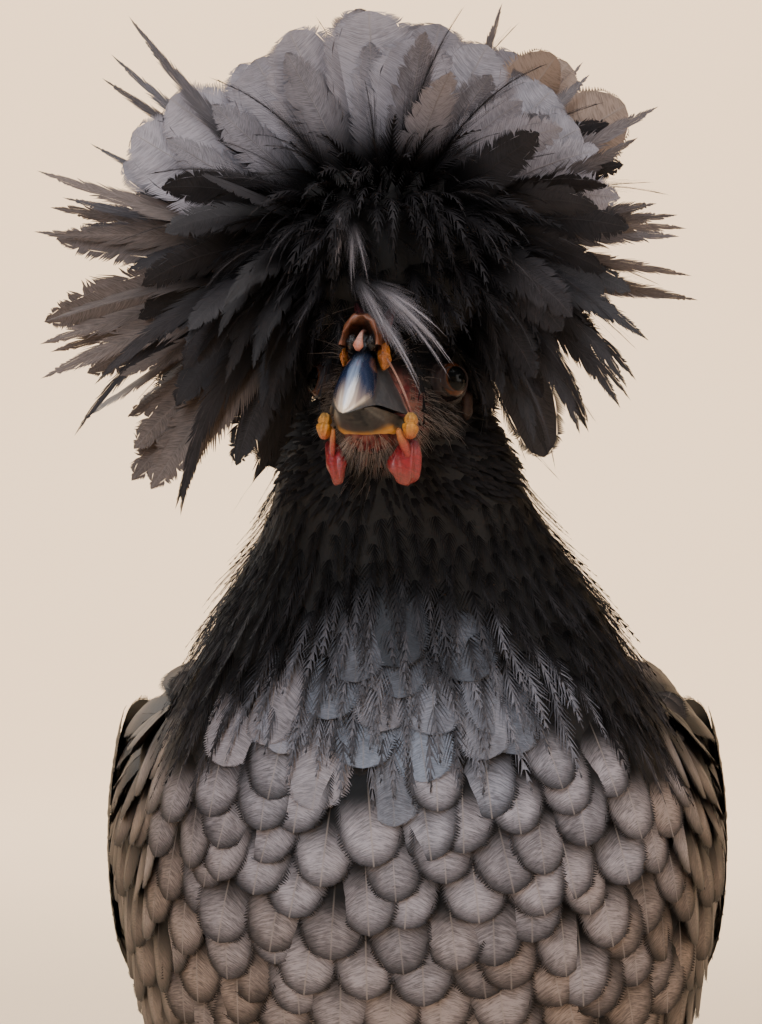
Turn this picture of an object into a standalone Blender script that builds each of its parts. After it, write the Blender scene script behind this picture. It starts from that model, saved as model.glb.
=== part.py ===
"""Black crested hen, standing at rest and life size, facing -Y with +Z up, in metres.

The body is one smooth loft from the tail to the throat, parted by thin plane cuts into torso, neck and
head. Wings, thighs, tail and crest are shaped to their own sizes and trimmed where they meet the body,
with a narrow gap between the two faces. Their large feathers are separate vanes, fused at the root. The
head is turned a little to its right and tipped up a little.
"""

import math
import random

import bmesh
import bpy
from mathutils import Matrix, Vector

MM = 0.001
GAP = 0.35 * MM
MITRE_LIMIT = 2.5
SIDES = {"left": 1.0, "right": -1.0}

# Torso and neck: for each station the belly or breast point and the back point in side view (y, z), the
# half width across, and how far the middle is shifted sideways, all in millimetres.
BODY_STATIONS = (
    ((101, 211), (106, 236), 15, 0),
    ((93, 188), (97, 242), 29, 0),
    ((70, 152), (74, 243), 46, 0),
    ((38, 126), (38, 243), 59, 0),
    ((-2, 116), (4, 247), 67, 0),
    ((-45, 122), (-22, 254), 69, 0),
    ((-81, 148), (-36, 263), 65, 0),
    ((-101, 184), (-43, 272), 57, -1),
    ((-105, 218), (-48, 281), 48, -2),
    ((-101, 245), (-52, 289), 39, -3),
    ((-97, 266), (-55, 297), 32, -4),
    ((-96, 281), (-59, 305), 27, -5),
    ((-97, 291), (-66, 312), 20, -5.5),
)
BODY_RINGS = 27
BODY_AROUND = 24
BELLY_SQUARENESS = 0.90
NECK_BASE = (Vector((0, -0.074, 0.250)), Vector((0, -0.50, 0.87)))
NECK_TOP = (Vector((0, -0.078, 0.289)), Vector((0, -0.50, 0.87)))

# Head, in its own frame: facing -Y, origin in the middle of the skull.
HEAD_AT = Vector((-5.5, -85.5, 302.5)) * MM
HEAD_YAW = math.radians(-13)
HEAD_PITCH = math.radians(-8)
SKULL = Vector((15.0, 23.0, 15.5)) * MM
FACE_AT = Vector((0, -14, -1)) * MM
FACE = Vector((11.0, 15.0, 12.0)) * MM
FACE_FRONT = -25.0 * MM
EYE_AT = Vector((12.6, -9.0, 4.0)) * MM
EYE_RADIUS = 4.6 * MM
LID_RADIUS = 5.0 * MM
LID_THICKNESS = 1.1 * MM
EAR_LOBE_AT = Vector((14.6, 3.5, 1.0)) * MM
EAR_LOBE = Vector((1.8, 3.4, 4.2)) * MM
WATTLE_AT = Vector((8.2, -20.5, -16.5)) * MM
WATTLE = Vector((2.6, 4.6, 5.4)) * MM

# Beak, nostrils and comb, in the head's frame
GAPE_Z = -6.0 * MM
GAPE_CORNER_AT = Vector((9.2, -24.8, -8.0)) * MM
GAPE_CORNER = Vector((2.2, 3.8, 3.2)) * MM
BEAK_TIP = Vector((0, -48.0, -9.0)) * MM
BEAK_HALF_WIDTH = 8.6 * MM
CULMEN_BASE_Z = 8.5 * MM
NOSTRIL_DOME_AT = Vector((2.4, -29.5, 9.6)) * MM
NOSTRIL_DOME = Vector((3.6, 6.6, 5.2)) * MM
NOSTRIL_AT = Vector((3.1, -36.0, 8.4)) * MM
NOSTRIL = Vector((1.7, 5.6, 2.4)) * MM
COMB_AT = Vector((0, -22.5, 11.5)) * MM
COMB = Vector((4.2, 3.0, 3.6)) * MM
COMB_ROOT = Vector((1.8, -22.5, 12.5)) * MM
COMB_POINT = Vector((4.6, -21.5, 19.0)) * MM

# Legs
HIP_AT = Vector((35, -6, 166)) * MM
THIGH_DEPTH = 1.4
HOCK_AT = Vector((37, 16, 92)) * MM
ANKLE_AT = Vector((37, 2, 11)) * MM
SHANK_RADIUS = 4.6 * MM
TOES = (
    # turn outwards in degrees, length to the claw's root and radius at the root in millimetres
    (2, 50, 4.0),
    (-30, 36, 3.7),
    (33, 38, 3.7),
    (172, 18, 3.4),
)
CLAW_LENGTH = 11.0 * MM

# Wing, crest and tail
WING_AT = Vector((51, 18, 204)) * MM
WING = Vector((25, 82, 42)) * MM
WING_TILT = math.radians(8)
WING_SHINGLE = math.radians(13)
CREST_AT = Vector((-8, -80, 336)) * MM
CREST_CORE = Vector((34, 32, 25)) * MM
CREST_SHINGLE = math.radians(15)
CREST_SEED = 11
TAIL_AT = Vector((0, 94, 229)) * MM
TAIL_CORE = Vector((24, 29, 17)) * MM
TAIL_CORE_TILT = math.radians(34)
TAIL_STEP = 2.1 * MM

# Feathers. A shape is the share of the length at each station and the share of the half width there.
BROAD = ((0.0, 0.34, 0.70, 0.92), (0.35, 0.90, 1.0, 0.60))
ROUND = ((0.0, 0.50, 0.88), (0.50, 1.0, 0.66))
POINTED = ((0.0, 0.36, 0.74), (0.45, 1.0, 0.72))
FEATHER_THICKNESS = 1.1 * MM
CAMBER = 0.07
FACES = {
    "front": Vector((0, -1, 0.25)),
    "up": Vector((0, -0.2, 1)),
    "back": Vector((0, 1, 0.4)),
}

# Crest feathers by group, spread evenly over two angles in degrees: the clock angle, seen from the front
# with 0 straight up and 90 to the bird's left, and the lean towards the back. Then the lengths of the
# first and the last, the half width, the droop in degrees, how deep the root starts, shape and face.
CREST_GROUPS = (
    ("fan", 8, (-64, 6), (4, 18), (46, 44), 11.5, (-6, 8), 0.55, BROAD, "front"),
    ("fan_left", 4, (14, 50), (2, 14), (38, 33), 10.0, (-4, 10), 0.55, BROAD, "front"),
    ("fan_behind", 6, (-70, 60), (22, 34), (44, 40), 12.0, (0, 12), 0.6, ROUND, "front"),
    ("left_upright", 3, (32, 52), (8, 20), (46, 50), 4.6, (-10, 4), 0.6, POINTED, "front"),
    ("right_spikes", 4, (-50, -80), (-8, 8), (61, 44), 3.6, (-14, 2), 0.7, POINTED, "front"),
    ("right_cluster", 5, (-86, -106), (-12, 12), (58, 58), 6.5, (-8, 12), 0.65, POINTED, "front"),
    ("right_side", 9, (-66, -136), (-42, 40), (33, 35), 8.5, (6, 26), 0.7, POINTED, "front"),
    ("right_lower", 4, (-114, -136), (-14, 10), (50, 54), 6.0, (-4, 16), 0.7, POINTED, "front"),
    ("right_dangle", 4, (-112, -140), (-22, 12), (62, 52), 4.4, (34, 52), 0.7, POINTED, "front"),
    ("left_side", 8, (58, 128), (-42, 40), (34, 30), 8.5, (6, 26), 0.7, POINTED, "front"),
    ("left_long", 4, (74, 98), (-14, 14), (38, 46), 4.6, (-6, 14), 0.7, POINTED, "front"),
    ("left_lower", 5, (100, 132), (-26, 12), (44, 38), 5.4, (30, 46), 0.7, POINTED, "front"),
    ("left_skirt", 4, (126, 156), (-22, 16), (28, 26), 6.5, (20, 40), 0.75, POINTED, "front"),
    ("front_top", 7, (-58, 54), (-44, -30), (30, 28), 8.5, (84, 104), 0.8, ROUND, "up"),
    ("front_low", 6, (-130, 120), (-68, -58), (21, 20), 7.5, (50, 70), 0.85, POINTED, "up"),
    ("right_cheek", 5, (-92, -142), (-52, -34), (36, 30), 5.5, (44, 60), 0.8, POINTED, "front"),
    ("back_top", 8, (-62, 62), (44, 76), (46, 46), 11.0, (8, 30), 0.6, ROUND, "up"),
    ("nape", 9, (-168, 168), (34, 74), (50, 50), 9.5, (30, 56), 0.65, ROUND, "back"),
)

# The loose tuft that hangs over the left of the beak: each root from the middle of the core, the way that
# the feather leaves it, and its length and bend, in millimetres and degrees.
FORELOCK = (
    (Vector((-2, -27, 12)), Vector((0.30, -0.70, -0.25)), 38, 46),
    (Vector((3, -27, 11)), Vector((0.48, -0.66, -0.15)), 36, 52),
    (Vector((0, -28, 9)), Vector((0.16, -0.62, -0.50)), 34, 58),
)
FORELOCK_HALF_WIDTH = 3.2 * MM

# Wing feathers by tier, in shares of the wing's half length (towards the tail) and half height (up): how
# many, the lowest and highest root, the lowest and highest tip, the half width and the lift off the wing.
WING_TIERS = (
    ("primaries", 3, (0.16, -0.50), (0.30, -0.20), (1.14, -0.44), (1.36, -0.10), 8.0, 0.4),
    ("secondaries", 7, (-0.20, -0.50), (0.34, 0.56), (0.62, -0.82), (1.20, 0.36), 9.0, 1.6),
    ("greater_coverts", 6, (-0.50, -0.50), (0.04, 0.66), (0.10, -0.82), (0.62, 0.52), 9.5, 2.8),
    ("median_coverts", 5, (-0.76, -0.42), (-0.24, 0.70), (-0.26, -0.72), (0.22, 0.62), 9.0, 4.0),
)

# Tail feathers on each side by tier, from the middle outwards: how many, the length, the half width, how
# far the roots lie out from the main ones, and the rise and outward turn of the first and the last.
TAIL_TIERS = (
    ("main", 5, 118, 13.0, 0.0, (50, 5), (22, 25)),
    ("upper_coverts", 2, 62, 13.0, 5.5, (42, 12), (26, 26)),
    ("under_coverts", 2, 50, 11.0, -13.0, (26, 10), (12, 22)),
)


def clear_scene():
    for obj in list(bpy.data.objects):
        bpy.data.objects.remove(obj)


def finish(name, color, roughness, metallic=0.0):
    """A plain material."""
    material = bpy.data.materials.new(name)
    material.use_nodes = True
    shader = material.node_tree.nodes["Principled BSDF"]
    shader.inputs["Base Color"].default_value = (*color, 1.0)
    shader.inputs["Roughness"].default_value = roughness
    shader.inputs["Metallic"].default_value = metallic
    return material


def put(name, bm):
    """Turns a bmesh into an object of the scene."""
    bmesh.ops.recalc_face_normals(bm, faces=bm.faces)
    mesh = bpy.data.meshes.new(name)
    bm.to_mesh(mesh)
    bm.free()
    obj = bpy.data.objects.new(name, mesh)
    bpy.context.scene.collection.objects.link(obj)
    return obj


def dress(obj, name, material, smooth_angle=40):
    """Names a finished solid and gives it its material and shading."""
    obj.name = name
    obj.data.name = name
    obj.data.materials.clear()
    obj.data.materials.append(material)
    obj.data.shade_smooth()
    obj.data.set_sharp_from_angle(angle=math.radians(smooth_angle))
    return obj


def mirrored(vector, side):
    """A place on the bird's left, or the same place on its right."""
    return Vector((vector.x * side, vector.y, vector.z))


def loft(bm, rings):
    """Skins a row of rings of equal count and closes both ends with a fan."""
    loops = [[bm.verts.new(point) for point in ring] for ring in rings]
    count = len(loops[0])
    for one, two in zip(loops, loops[1:]):
        for k in range(count):
            after = (k + 1) % count
            bm.faces.new((one[k], one[after], two[after], two[k]))
    for loop in (loops[0], loops[-1]):
        middle = bm.verts.new(sum((vert.co for vert in loop), Vector()) / count)
        for k in range(count):
            bm.faces.new((loop[k], loop[(k + 1) % count], middle))


def cut(bm, point, normal, shift=0.0):
    """Removes what lies ahead of a plane and closes the cut."""
    geometry = [*bm.verts, *bm.edges, *bm.faces]
    result = bmesh.ops.bisect_plane(
        bm,
        geom=geometry,
        plane_co=point + normal.normalized() * shift,
        plane_no=normal,
        clear_outer=True,
    )
    edges = [item for item in result["geom_cut"] if isinstance(item, bmesh.types.BMEdge)]
    bmesh.ops.contextual_create(bm, geom=edges)
    bmesh.ops.triangulate(bm, faces=[face for face in bm.faces if len(face.verts) > 4])


def cut_object(obj, *planes):
    """The same cut on an object's mesh, for each plane, given as its point, normal and shift."""
    bm = bmesh.new()
    bm.from_mesh(obj.data)
    for point, normal, shift in planes:
        cut(bm, point, normal, shift)
    bm.to_mesh(obj.data)
    bm.free()


def ellipsoid(name, at, radii, turn=Matrix.Identity(4), segments=20, rings=12):
    bm = bmesh.new()
    bmesh.ops.create_uvsphere(bm, u_segments=segments, v_segments=rings, radius=1.0)
    bm.transform(Matrix.Translation(at) @ turn @ Matrix.Diagonal((*radii, 1.0)))
    return put(name, bm)


def tapered(name, start, end, start_radius, end_radius, around=12, rings=5, belly=0.0, depth=1.0):
    """A limb between two points, with an optional swell between them and a deeper section at its start."""
    bm = bmesh.new()
    way = (end - start).normalized()
    across = way.cross(Vector((0, 1, 0))).normalized()
    other = way.cross(across)
    loops = []
    for k in range(rings):
        t = k / (rings - 1)
        radius = start_radius + (end_radius - start_radius) * t + belly * math.sin(math.pi * t)
        middle = start.lerp(end, t)
        deep = 1 + (depth - 1) * (1 - t)
        turns = [2 * math.pi * j / around for j in range(around)]
        loops.append([middle + (across * math.cos(a) + other * math.sin(a) * deep) * radius for a in turns])
    loft(bm, loops)
    return put(name, bm)


def apply_modifiers(obj):
    """Bakes an object's modifiers into its mesh."""
    bpy.context.view_layer.update()
    graph = bpy.context.evaluated_depsgraph_get()
    mesh = bpy.data.meshes.new_from_object(obj.evaluated_get(graph))
    obj.modifiers.clear()
    obj.data = mesh


def join_all(obj, pieces):
    """One union of an object with closed pieces, which are then removed."""
    group = bpy.data.collections.new(obj.name + "_pieces")
    bpy.context.scene.collection.children.link(group)
    for piece in pieces:
        bpy.context.scene.collection.objects.unlink(piece)
        group.objects.link(piece)
    union = obj.modifiers.new("union", "BOOLEAN")
    union.operation = "UNION"
    union.operand_type = "COLLECTION"
    union.collection = group
    union.solver = "MANIFOLD"
    apply_modifiers(obj)
    for piece in pieces:
        bpy.data.objects.remove(piece)
    bpy.data.collections.remove(group)
    keep_largest(obj)


def carve(obj, cutter):
    """Cuts one closed mesh out of another, and removes the cutter."""
    difference = obj.modifiers.new("cut", "BOOLEAN")
    difference.operation = "DIFFERENCE"
    difference.object = cutter
    difference.solver = "MANIFOLD"
    apply_modifiers(obj)
    bpy.data.objects.remove(cutter)


def clear_of(obj, *others):
    """Trims an object so that it keeps a narrow gap to each neighbour."""
    for other in others:
        carve(obj, grown(other))
    keep_largest(obj)


def grown(obj, by=GAP):
    """A copy of an object with its surface moved out, to cut a neighbour clear of it."""
    bm = bmesh.new()
    bm.from_mesh(obj.data)
    bm.normal_update()
    for vert in bm.verts:
        vert.co += vert.normal * by * min(vert.calc_shell_factor(), MITRE_LIMIT)
    return put(obj.name + "_grown", bm)


def keep_largest(obj):
    """Keeps only the largest closed surface of a mesh."""
    bm = bmesh.new()
    bm.from_mesh(obj.data)
    left = set(bm.verts)
    parts = []
    while left:
        stack = [left.pop()]
        part = set(stack)
        while stack:
            for edge in stack.pop().link_edges:
                for vert in edge.verts:
                    if vert in left:
                        left.remove(vert)
                        part.add(vert)
                        stack.append(vert)
        parts.append(part)
    best = max(parts, key=len)
    bmesh.ops.delete(bm, geom=[vert for vert in bm.verts if vert not in best], context="VERTS")
    bm.to_mesh(obj.data)
    bm.free()


def blend(rows, where):
    """A smooth curve through rows of numbers, at a place from 0 to the last row."""
    last = len(rows) - 1
    index = min(int(where), last - 1)
    t = where - index
    picks = [rows[min(max(index + step, 0), last)] for step in (-1, 0, 1, 2)]
    return [
        0.5 * (2 * b + (c - a) * t + (2 * a - 5 * b + 4 * c - d) * t * t + (3 * b - a - 3 * c + d) * t**3)
        for a, b, c, d in zip(*picks)
    ]


def body_ring(where):
    """One cross-section of the body loft, in the plane of its belly and back points."""
    rows = [(*belly, *back, width, shift) for belly, back, width, shift in BODY_STATIONS]
    belly_y, belly_z, back_y, back_z, half_width, shift = (value * MM for value in blend(rows, where))
    belly = Vector((0, belly_y, belly_z))
    back = Vector((0, back_y, back_z))
    middle = (belly + back) / 2 + Vector((shift, 0, 0))
    down = (belly - back) / 2
    ring = []
    for k in range(BODY_AROUND):
        turn = 2 * math.pi * k / BODY_AROUND
        across, along = math.sin(turn), math.cos(turn)
        fullness = abs(across) ** BELLY_SQUARENESS
        ring.append(middle + down * along + Vector((math.copysign(fullness, across) * half_width, 0, 0)))
    return ring


def body_loft():
    """The whole body from the tail's root to the throat, before it is parted."""
    bm = bmesh.new()
    last = len(BODY_STATIONS) - 1
    loft(bm, [body_ring(last * k / (BODY_RINGS - 1)) for k in range(BODY_RINGS)])
    return bm


def torso_and_neck():
    torso_bm = body_loft()
    cut(torso_bm, *NECK_BASE, -GAP / 2)
    neck_bm = body_loft()
    cut(neck_bm, NECK_BASE[0], -NECK_BASE[1], -GAP / 2)
    cut(neck_bm, *NECK_TOP, -GAP / 2)
    return put("torso", torso_bm), put("neck", neck_bm)


def head_frame():
    turn = Matrix.Rotation(HEAD_YAW, 4, "Z") @ Matrix.Rotation(HEAD_PITCH, 4, "X")
    return Matrix.Translation(HEAD_AT) @ turn


def head_ellipsoid(name, at, radii, segments, rings, tilt=0.0):
    """An egg shape placed in the head's own frame, tilted about the way that the head faces."""
    made = ellipsoid(name, at, radii, Matrix.Rotation(tilt, 4, "Y"), segments, rings)
    made.data.transform(head_frame())
    return made


def ring_piece(name, at, axis, radius, thickness, around=12, section=5):
    """A ring of round section, as for an eyelid."""
    bm = bmesh.new()
    rings = []
    for k in range(around):
        angle = 2 * math.pi * k / around
        out = Vector((math.cos(angle), math.sin(angle), 0))
        rings.append([])
        for j in range(section):
            bend = 2 * math.pi * j / section
            reach = radius + thickness * math.cos(bend)
            rings[-1].append(bm.verts.new(out * reach + Vector((0, 0, thickness * math.sin(bend)))))
    for k in range(around):
        one, two = rings[k], rings[(k + 1) % around]
        for j in range(section):
            after = (j + 1) % section
            bm.faces.new((one[j], one[after], two[after], two[j]))
    bm.transform(Matrix.Translation(at) @ axis.to_track_quat("Z", "Y").to_matrix().to_4x4())
    return put(name, bm)


def head_solid():
    """Skull, face and lids on the top of the body loft, cut flat where the beak begins."""
    frame = head_frame()
    top = body_loft()
    cut(top, NECK_TOP[0], -NECK_TOP[1], -GAP / 2)
    head = put("head", top)
    pieces = [
        head_ellipsoid("skull", Vector(), SKULL, 16, 8),
        head_ellipsoid("face", FACE_AT, FACE, 14, 8),
    ]
    for side in SIDES.values():
        axis = Vector((side, -0.35, 0.05))
        lid = ring_piece("lid", mirrored(EYE_AT, side), axis, LID_RADIUS, LID_THICKNESS)
        lid.data.transform(frame)
        pieces.append(lid)
    join_all(head, pieces)
    ahead = frame.to_3x3() @ Vector((0, -1, 0))
    front = (frame @ Vector((0, FACE_FRONT, 0)), ahead, 0.0)
    cut_object(head, front, (NECK_TOP[0], -NECK_TOP[1], -GAP / 2))
    keep_largest(head)
    return head


def eyes(head):
    """Two eyeballs, each in a socket that it clears."""
    made = []
    for name, side in SIDES.items():
        eye = head_ellipsoid("eye_" + name, mirrored(EYE_AT, side), (EYE_RADIUS,) * 3, 12, 8)
        carve(head, grown(eye))
        made.append(eye)
    keep_largest(head)
    return made


def beak_ring(y, flat, round_top, half):
    """A D-shaped section: flat at the mouth, arched on the other side."""
    ring = []
    count = 9
    for k in range(count):
        angle = math.pi * k / (count - 1)
        ring.append(Vector((half * math.cos(angle), y, flat + (round_top - flat) * math.sin(angle) ** 0.85)))
    ring.append(Vector((-half * 0.4, y, flat)))
    ring.append(Vector((half * 0.4, y, flat)))
    return ring


def beak(head):
    """Upper and lower mandible, lofted from the cut face of the head to their tips, with the line of the
    mouth between them and the swollen corners of the gape behind."""
    steps = 9
    upper_rings, lower_rings = [], []
    for k in range(steps):
        t = k / (steps - 1)
        y = FACE_FRONT - GAP + (BEAK_TIP.y - FACE_FRONT) * t
        ridge = CULMEN_BASE_Z - (CULMEN_BASE_Z - BEAK_TIP.z) * t**1.9
        floor = GAPE_Z + 0.25 * MM + (BEAK_TIP.z - GAPE_Z - 0.4 * MM) * max(0.0, (t - 0.55) / 0.45) ** 1.5
        half = BEAK_HALF_WIDTH * (1 - t) ** 0.62 + 0.35 * MM
        upper_rings.append(beak_ring(y, floor, max(ridge, floor + 0.7 * MM), half))
        if t < 0.86:
            sill = GAPE_Z - 0.25 * MM
            keel = GAPE_Z - 5.2 * MM * (1 - (t / 0.86) ** 2.2) - 0.9 * MM
            lower_rings.append(beak_ring(y, sill, keel, half * 0.86))
    made = []
    for name, rings in (("upper_mandible", upper_rings), ("lower_mandible", lower_rings)):
        bm = bmesh.new()
        loft(bm, rings)
        bm.transform(head_frame())
        made.append(put(name, bm))
    upper, lower = made
    places = [mirrored(GAPE_CORNER_AT, side) for side in SIDES.values()]
    join_all(upper, [head_ellipsoid("corner", place, GAPE_CORNER, 10, 6) for place in places])
    clear_of(upper, head)
    clear_of(lower, upper)
    return upper, lower


def nostrils(head, upper):
    """Two raised nostril domes side by side on the beak's root, each open in front."""
    places = [mirrored(NOSTRIL_DOME_AT, side) for side in SIDES.values()]
    dome, other = (head_ellipsoid("nostril_dome", place, NOSTRIL_DOME, 12, 6) for place in places)
    join_all(dome, [other])
    for side in SIDES.values():
        carve(dome, head_ellipsoid("opening", mirrored(NOSTRIL_AT, side), NOSTRIL, 8, 6))
    clear_of(dome, head, upper)
    return dome


def comb(head, nostril_dome):
    """The very small comb behind the nostrils, two points in a V."""
    base = head_ellipsoid("comb", COMB_AT, COMB, 8, 6)
    points = []
    for side in SIDES.values():
        root, top = mirrored(COMB_ROOT, side), mirrored(COMB_POINT, side)
        point = tapered("point", root, top, 1.7 * MM, 0.5 * MM, 6, 2)
        point.data.transform(head_frame())
        points.append(point)
    join_all(base, points)
    clear_of(base, head, nostril_dome)
    return base


def face_lobes(head, neck, upper, lower):
    """Wattles under the corners of the beak, and small ear lobes behind the eyes."""
    made = {}
    for name, side in SIDES.items():
        tilt = math.radians(14 * side)
        wattle = head_ellipsoid("wattle_" + name, mirrored(WATTLE_AT, side), WATTLE, 12, 8, tilt)
        clear_of(wattle, head, neck, upper, lower)
        lobe = head_ellipsoid("ear_lobe_" + name, mirrored(EAR_LOBE_AT, side), EAR_LOBE, 10, 6)
        clear_of(lobe, head)
        made["wattle_" + name] = wattle
        made["ear_lobe_" + name] = lobe
    return made


def vane(stations, tip, thickness=FEATHER_THICKNESS):
    """One feather with a raised shaft: closed, and its triangles the same on both faces. A station is its
    middle, the way across, the way up and the half width."""
    bm = bmesh.new()
    rows = []
    for middle, across, up, half in stations:
        sink = up * CAMBER * half
        points = (
            middle - across * half - sink,
            middle + up * thickness / 2,
            middle + across * half - sink,
            middle - up * thickness / 2,
        )
        rows.append([bm.verts.new(point) for point in points])
    for (left, top, right, under), (left2, top2, right2, under2) in zip(rows, rows[1:]):
        for edge, edge2 in ((left, left2), (right, right2)):
            for ridge, ridge2 in ((top, top2), (under, under2)):
                bm.faces.new((edge, ridge, ridge2))
                bm.faces.new((edge, ridge2, edge2))
    left, top, right, under = rows[0]
    bm.faces.new((left, top, right))
    bm.faces.new((left, right, under))
    point = bm.verts.new(tip)
    left, top, right, under = rows[-1]
    for one, two in ((left, top), (top, right), (right, under), (under, left)):
        bm.faces.new((one, two, point))
    return put("vane", bm)


def pushed_out(point, keep_out):
    """Moves a point out of any egg-shaped space that it lies in, to its surface."""
    for middle, radii in keep_out:
        away = point - middle
        depth = Vector([a / r for a, r in zip(away, radii)]).length
        if depth < 1:
            point = middle + away / max(depth, 0.2)
    return point


def bent_feather(root, way, toward, bend, length, half, shape, face, keep_out=()):
    """A feather that leaves its root along a way and bends towards another, as a circular arc."""
    side_way = (toward - way * toward.dot(way)).normalized()
    bend = bend if abs(bend) > 1e-3 else 1e-3

    def at(share):
        reach = way * math.sin(bend * share) + side_way * (1 - math.cos(bend * share))
        return pushed_out(root + reach * length / bend, keep_out)

    stations = []
    for share, width in zip(*shape):
        heading = way * math.cos(bend * share) + side_way * math.sin(bend * share)
        across = heading.cross(face).normalized()
        stations.append((at(share), across, across.cross(heading).normalized(), half * width))
    return vane(stations, at(1.0))


def spread(ends, share):
    """The value at a share of the way between two ends."""
    return ends[0] + (ends[1] - ends[0]) * share


def crest_solid():
    """A low core on the skull with every feather rooted in it."""
    draw = random.Random(CREST_SEED)
    keep_out = (
        (HEAD_AT, Vector((21, 33, 21)) * MM),
        (Vector((-3, -74, 262)) * MM, Vector((45, 40, 42)) * MM),
        (Vector((-1, -60, 232)) * MM, Vector((64, 64, 46)) * MM),
    )
    pieces = []
    for _, count, clocks, leans, lengths, half, droops, start, shape, face_name in CREST_GROUPS:
        for k in range(count):
            share = k / (count - 1)
            clock = math.radians(spread(clocks, share))
            lean = math.radians(spread(leans, k * 0.618 % 1))
            droop = math.radians(spread(droops, k * 0.382 % 1))
            way = Vector((math.sin(clock) * math.cos(lean), math.sin(lean), math.cos(clock) * math.cos(lean)))
            root = CREST_AT + Vector([w * c for w, c in zip(way, CREST_CORE)]) * start
            face = (FACES[face_name] - way * way.dot(FACES[face_name])).normalized()
            face = Matrix.Rotation(CREST_SHINGLE + draw.uniform(-0.08, 0.08), 3, way) @ face
            fall = Vector((0.1 * way.x, 0.1 * way.y, -1))
            length = spread(lengths, share) * draw.uniform(0.94, 1.06) * MM
            size = half * draw.uniform(0.9, 1.1) * MM
            pieces.append(bent_feather(root, way, fall, droop, length, size, shape, face, keep_out))
    for place, way, length, bend in FORELOCK:
        root = CREST_AT + place * MM
        fall, face = Vector((0.2, 0, -1)), Vector((0, -0.4, 1))
        size = FORELOCK_HALF_WIDTH
        bend = math.radians(bend)
        pieces.append(bent_feather(root, way.normalized(), fall, bend, length * MM, size, POINTED, face))
    core = ellipsoid("crest", CREST_AT, CREST_CORE, segments=18, rings=10)
    join_all(core, pieces)
    return core


def wing_point(u, v, side, lift):
    """A point on the outer face of a folded wing, from its shares of half length and half height."""
    bulge = math.sqrt(max(0.02, 1 - 0.66 * u * u - 0.62 * v * v))
    local = Matrix.Rotation(WING_TILT, 4, "X") @ Vector((WING.x * bulge + lift, WING.y * u, WING.z * v))
    return mirrored(WING_AT + local.to_3d(), side)


def wing_feather(root, end, half, lift, side):
    """One feather that lies over the wing between two places on it, lifted clear from its root on."""
    shares = (*BROAD[0], 1.0)
    places = [root.lerp(end, share) for share in shares]
    rises = [(-2.5 + (lift + 2.5) * min(1.0, share * 2.4)) * MM for share in shares]
    points = [wing_point(*place, side, rise) for place, rise in zip(places, rises)]
    stations = []
    for j, width in enumerate(BROAD[1]):
        heading = (points[j + 1] - points[max(j - 1, 0)]).normalized()
        above = wing_point(places[j].x, places[j].y + 0.05, side, 0)
        below = wing_point(places[j].x, places[j].y - 0.05, side, 0)
        outward = heading.cross(above - below).normalized()
        outward = outward if outward.x * side > 0 else -outward
        outward = Matrix.Rotation(-WING_SHINGLE * side, 3, heading) @ outward
        stations.append((points[j], heading.cross(outward).normalized(), outward, half * width))
    return vane(stations, points[-1])


def wing_solid(name, side):
    """The flesh of a folded wing with its feathers in tiers over it."""
    turn = Matrix.Rotation(WING_TILT, 4, "X")
    core = ellipsoid("wing_" + name, mirrored(WING_AT, side), WING, turn, segments=18, rings=10)
    pieces = []
    for _, count, root_low, root_high, tip_low, tip_high, half, lift in WING_TIERS:
        for k in range(count):
            share = k / (count - 1)
            root = Vector(root_low).lerp(Vector(root_high), share)
            end = Vector(tip_low).lerp(Vector(tip_high), share)
            pieces.append(wing_feather(root, end, half * MM, lift, side))
    join_all(core, pieces)
    return core


def tail_way(rise, turn, side):
    rise, turn = math.radians(rise), math.radians(turn)
    return Vector((side * math.sin(turn) * math.cos(rise), math.cos(turn) * math.cos(rise), math.sin(rise)))


def tail_solid():
    """A short base with the main tail feathers in two halves of a tent, and shorter ones over and under."""
    core = ellipsoid("tail", TAIL_AT, TAIL_CORE, Matrix.Rotation(TAIL_CORE_TILT, 4, "X"), 16, 10)
    pieces = []
    for side in SIDES.values():
        for _, count, length, half, lift, first_way, last_way in TAIL_TIERS:
            first, last = tail_way(*first_way, side), tail_way(*last_way, side)
            face = first.cross(last).normalized()
            face = face if face.z > 0 else -face
            for k in range(count):
                share = k / (count - 1)
                way = first.slerp(last, share)
                root = TAIL_AT + Vector((side * (4 + 8 * share), 2, 2 - 6 * share)) * MM
                root += face * (lift * MM - TAIL_STEP * k)
                size = length * (1 - 0.14 * share) * MM
                pieces.append(bent_feather(root, way, face, math.radians(-10), size, half * MM, ROUND, face))
    join_all(core, pieces)
    return core


def foot_solid(name, side, ankle):
    """Toes with their pads flat on the floor, and claws."""
    pad_at = Vector((ankle.x, ankle.y, 5.6 * MM))
    foot = ellipsoid("foot_" + name, pad_at, Vector((7, 8, 6.5)) * MM, segments=12, rings=6)
    pieces = []
    for turn, length, radius in TOES:
        angle = math.radians(turn) * side
        way = Vector((math.sin(angle), -math.cos(angle), 0))
        start = Vector((ankle.x, ankle.y, 5.0 * MM))
        knuckle = start + way * length * MM
        knuckle.z = (radius - 0.9) * MM
        pieces.append(tapered("toe", start, knuckle, radius * MM * 1.1, radius * MM * 0.74, 7, 2))
        pieces.append(ellipsoid("toe_end", knuckle, Vector((radius * 0.8,) * 3) * MM, segments=7, rings=5))
        tip = knuckle + way * CLAW_LENGTH
        tip.z = 0.9 * MM
        root = knuckle + Vector((0, 0, 0.4 * MM))
        pieces.append(tapered("claw", root, tip, 1.9 * MM, 0.35 * MM, 6, 2))
    join_all(foot, pieces)
    cut_object(foot, (Vector(), Vector((0, 0, -1)), 0.0))
    return foot


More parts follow.
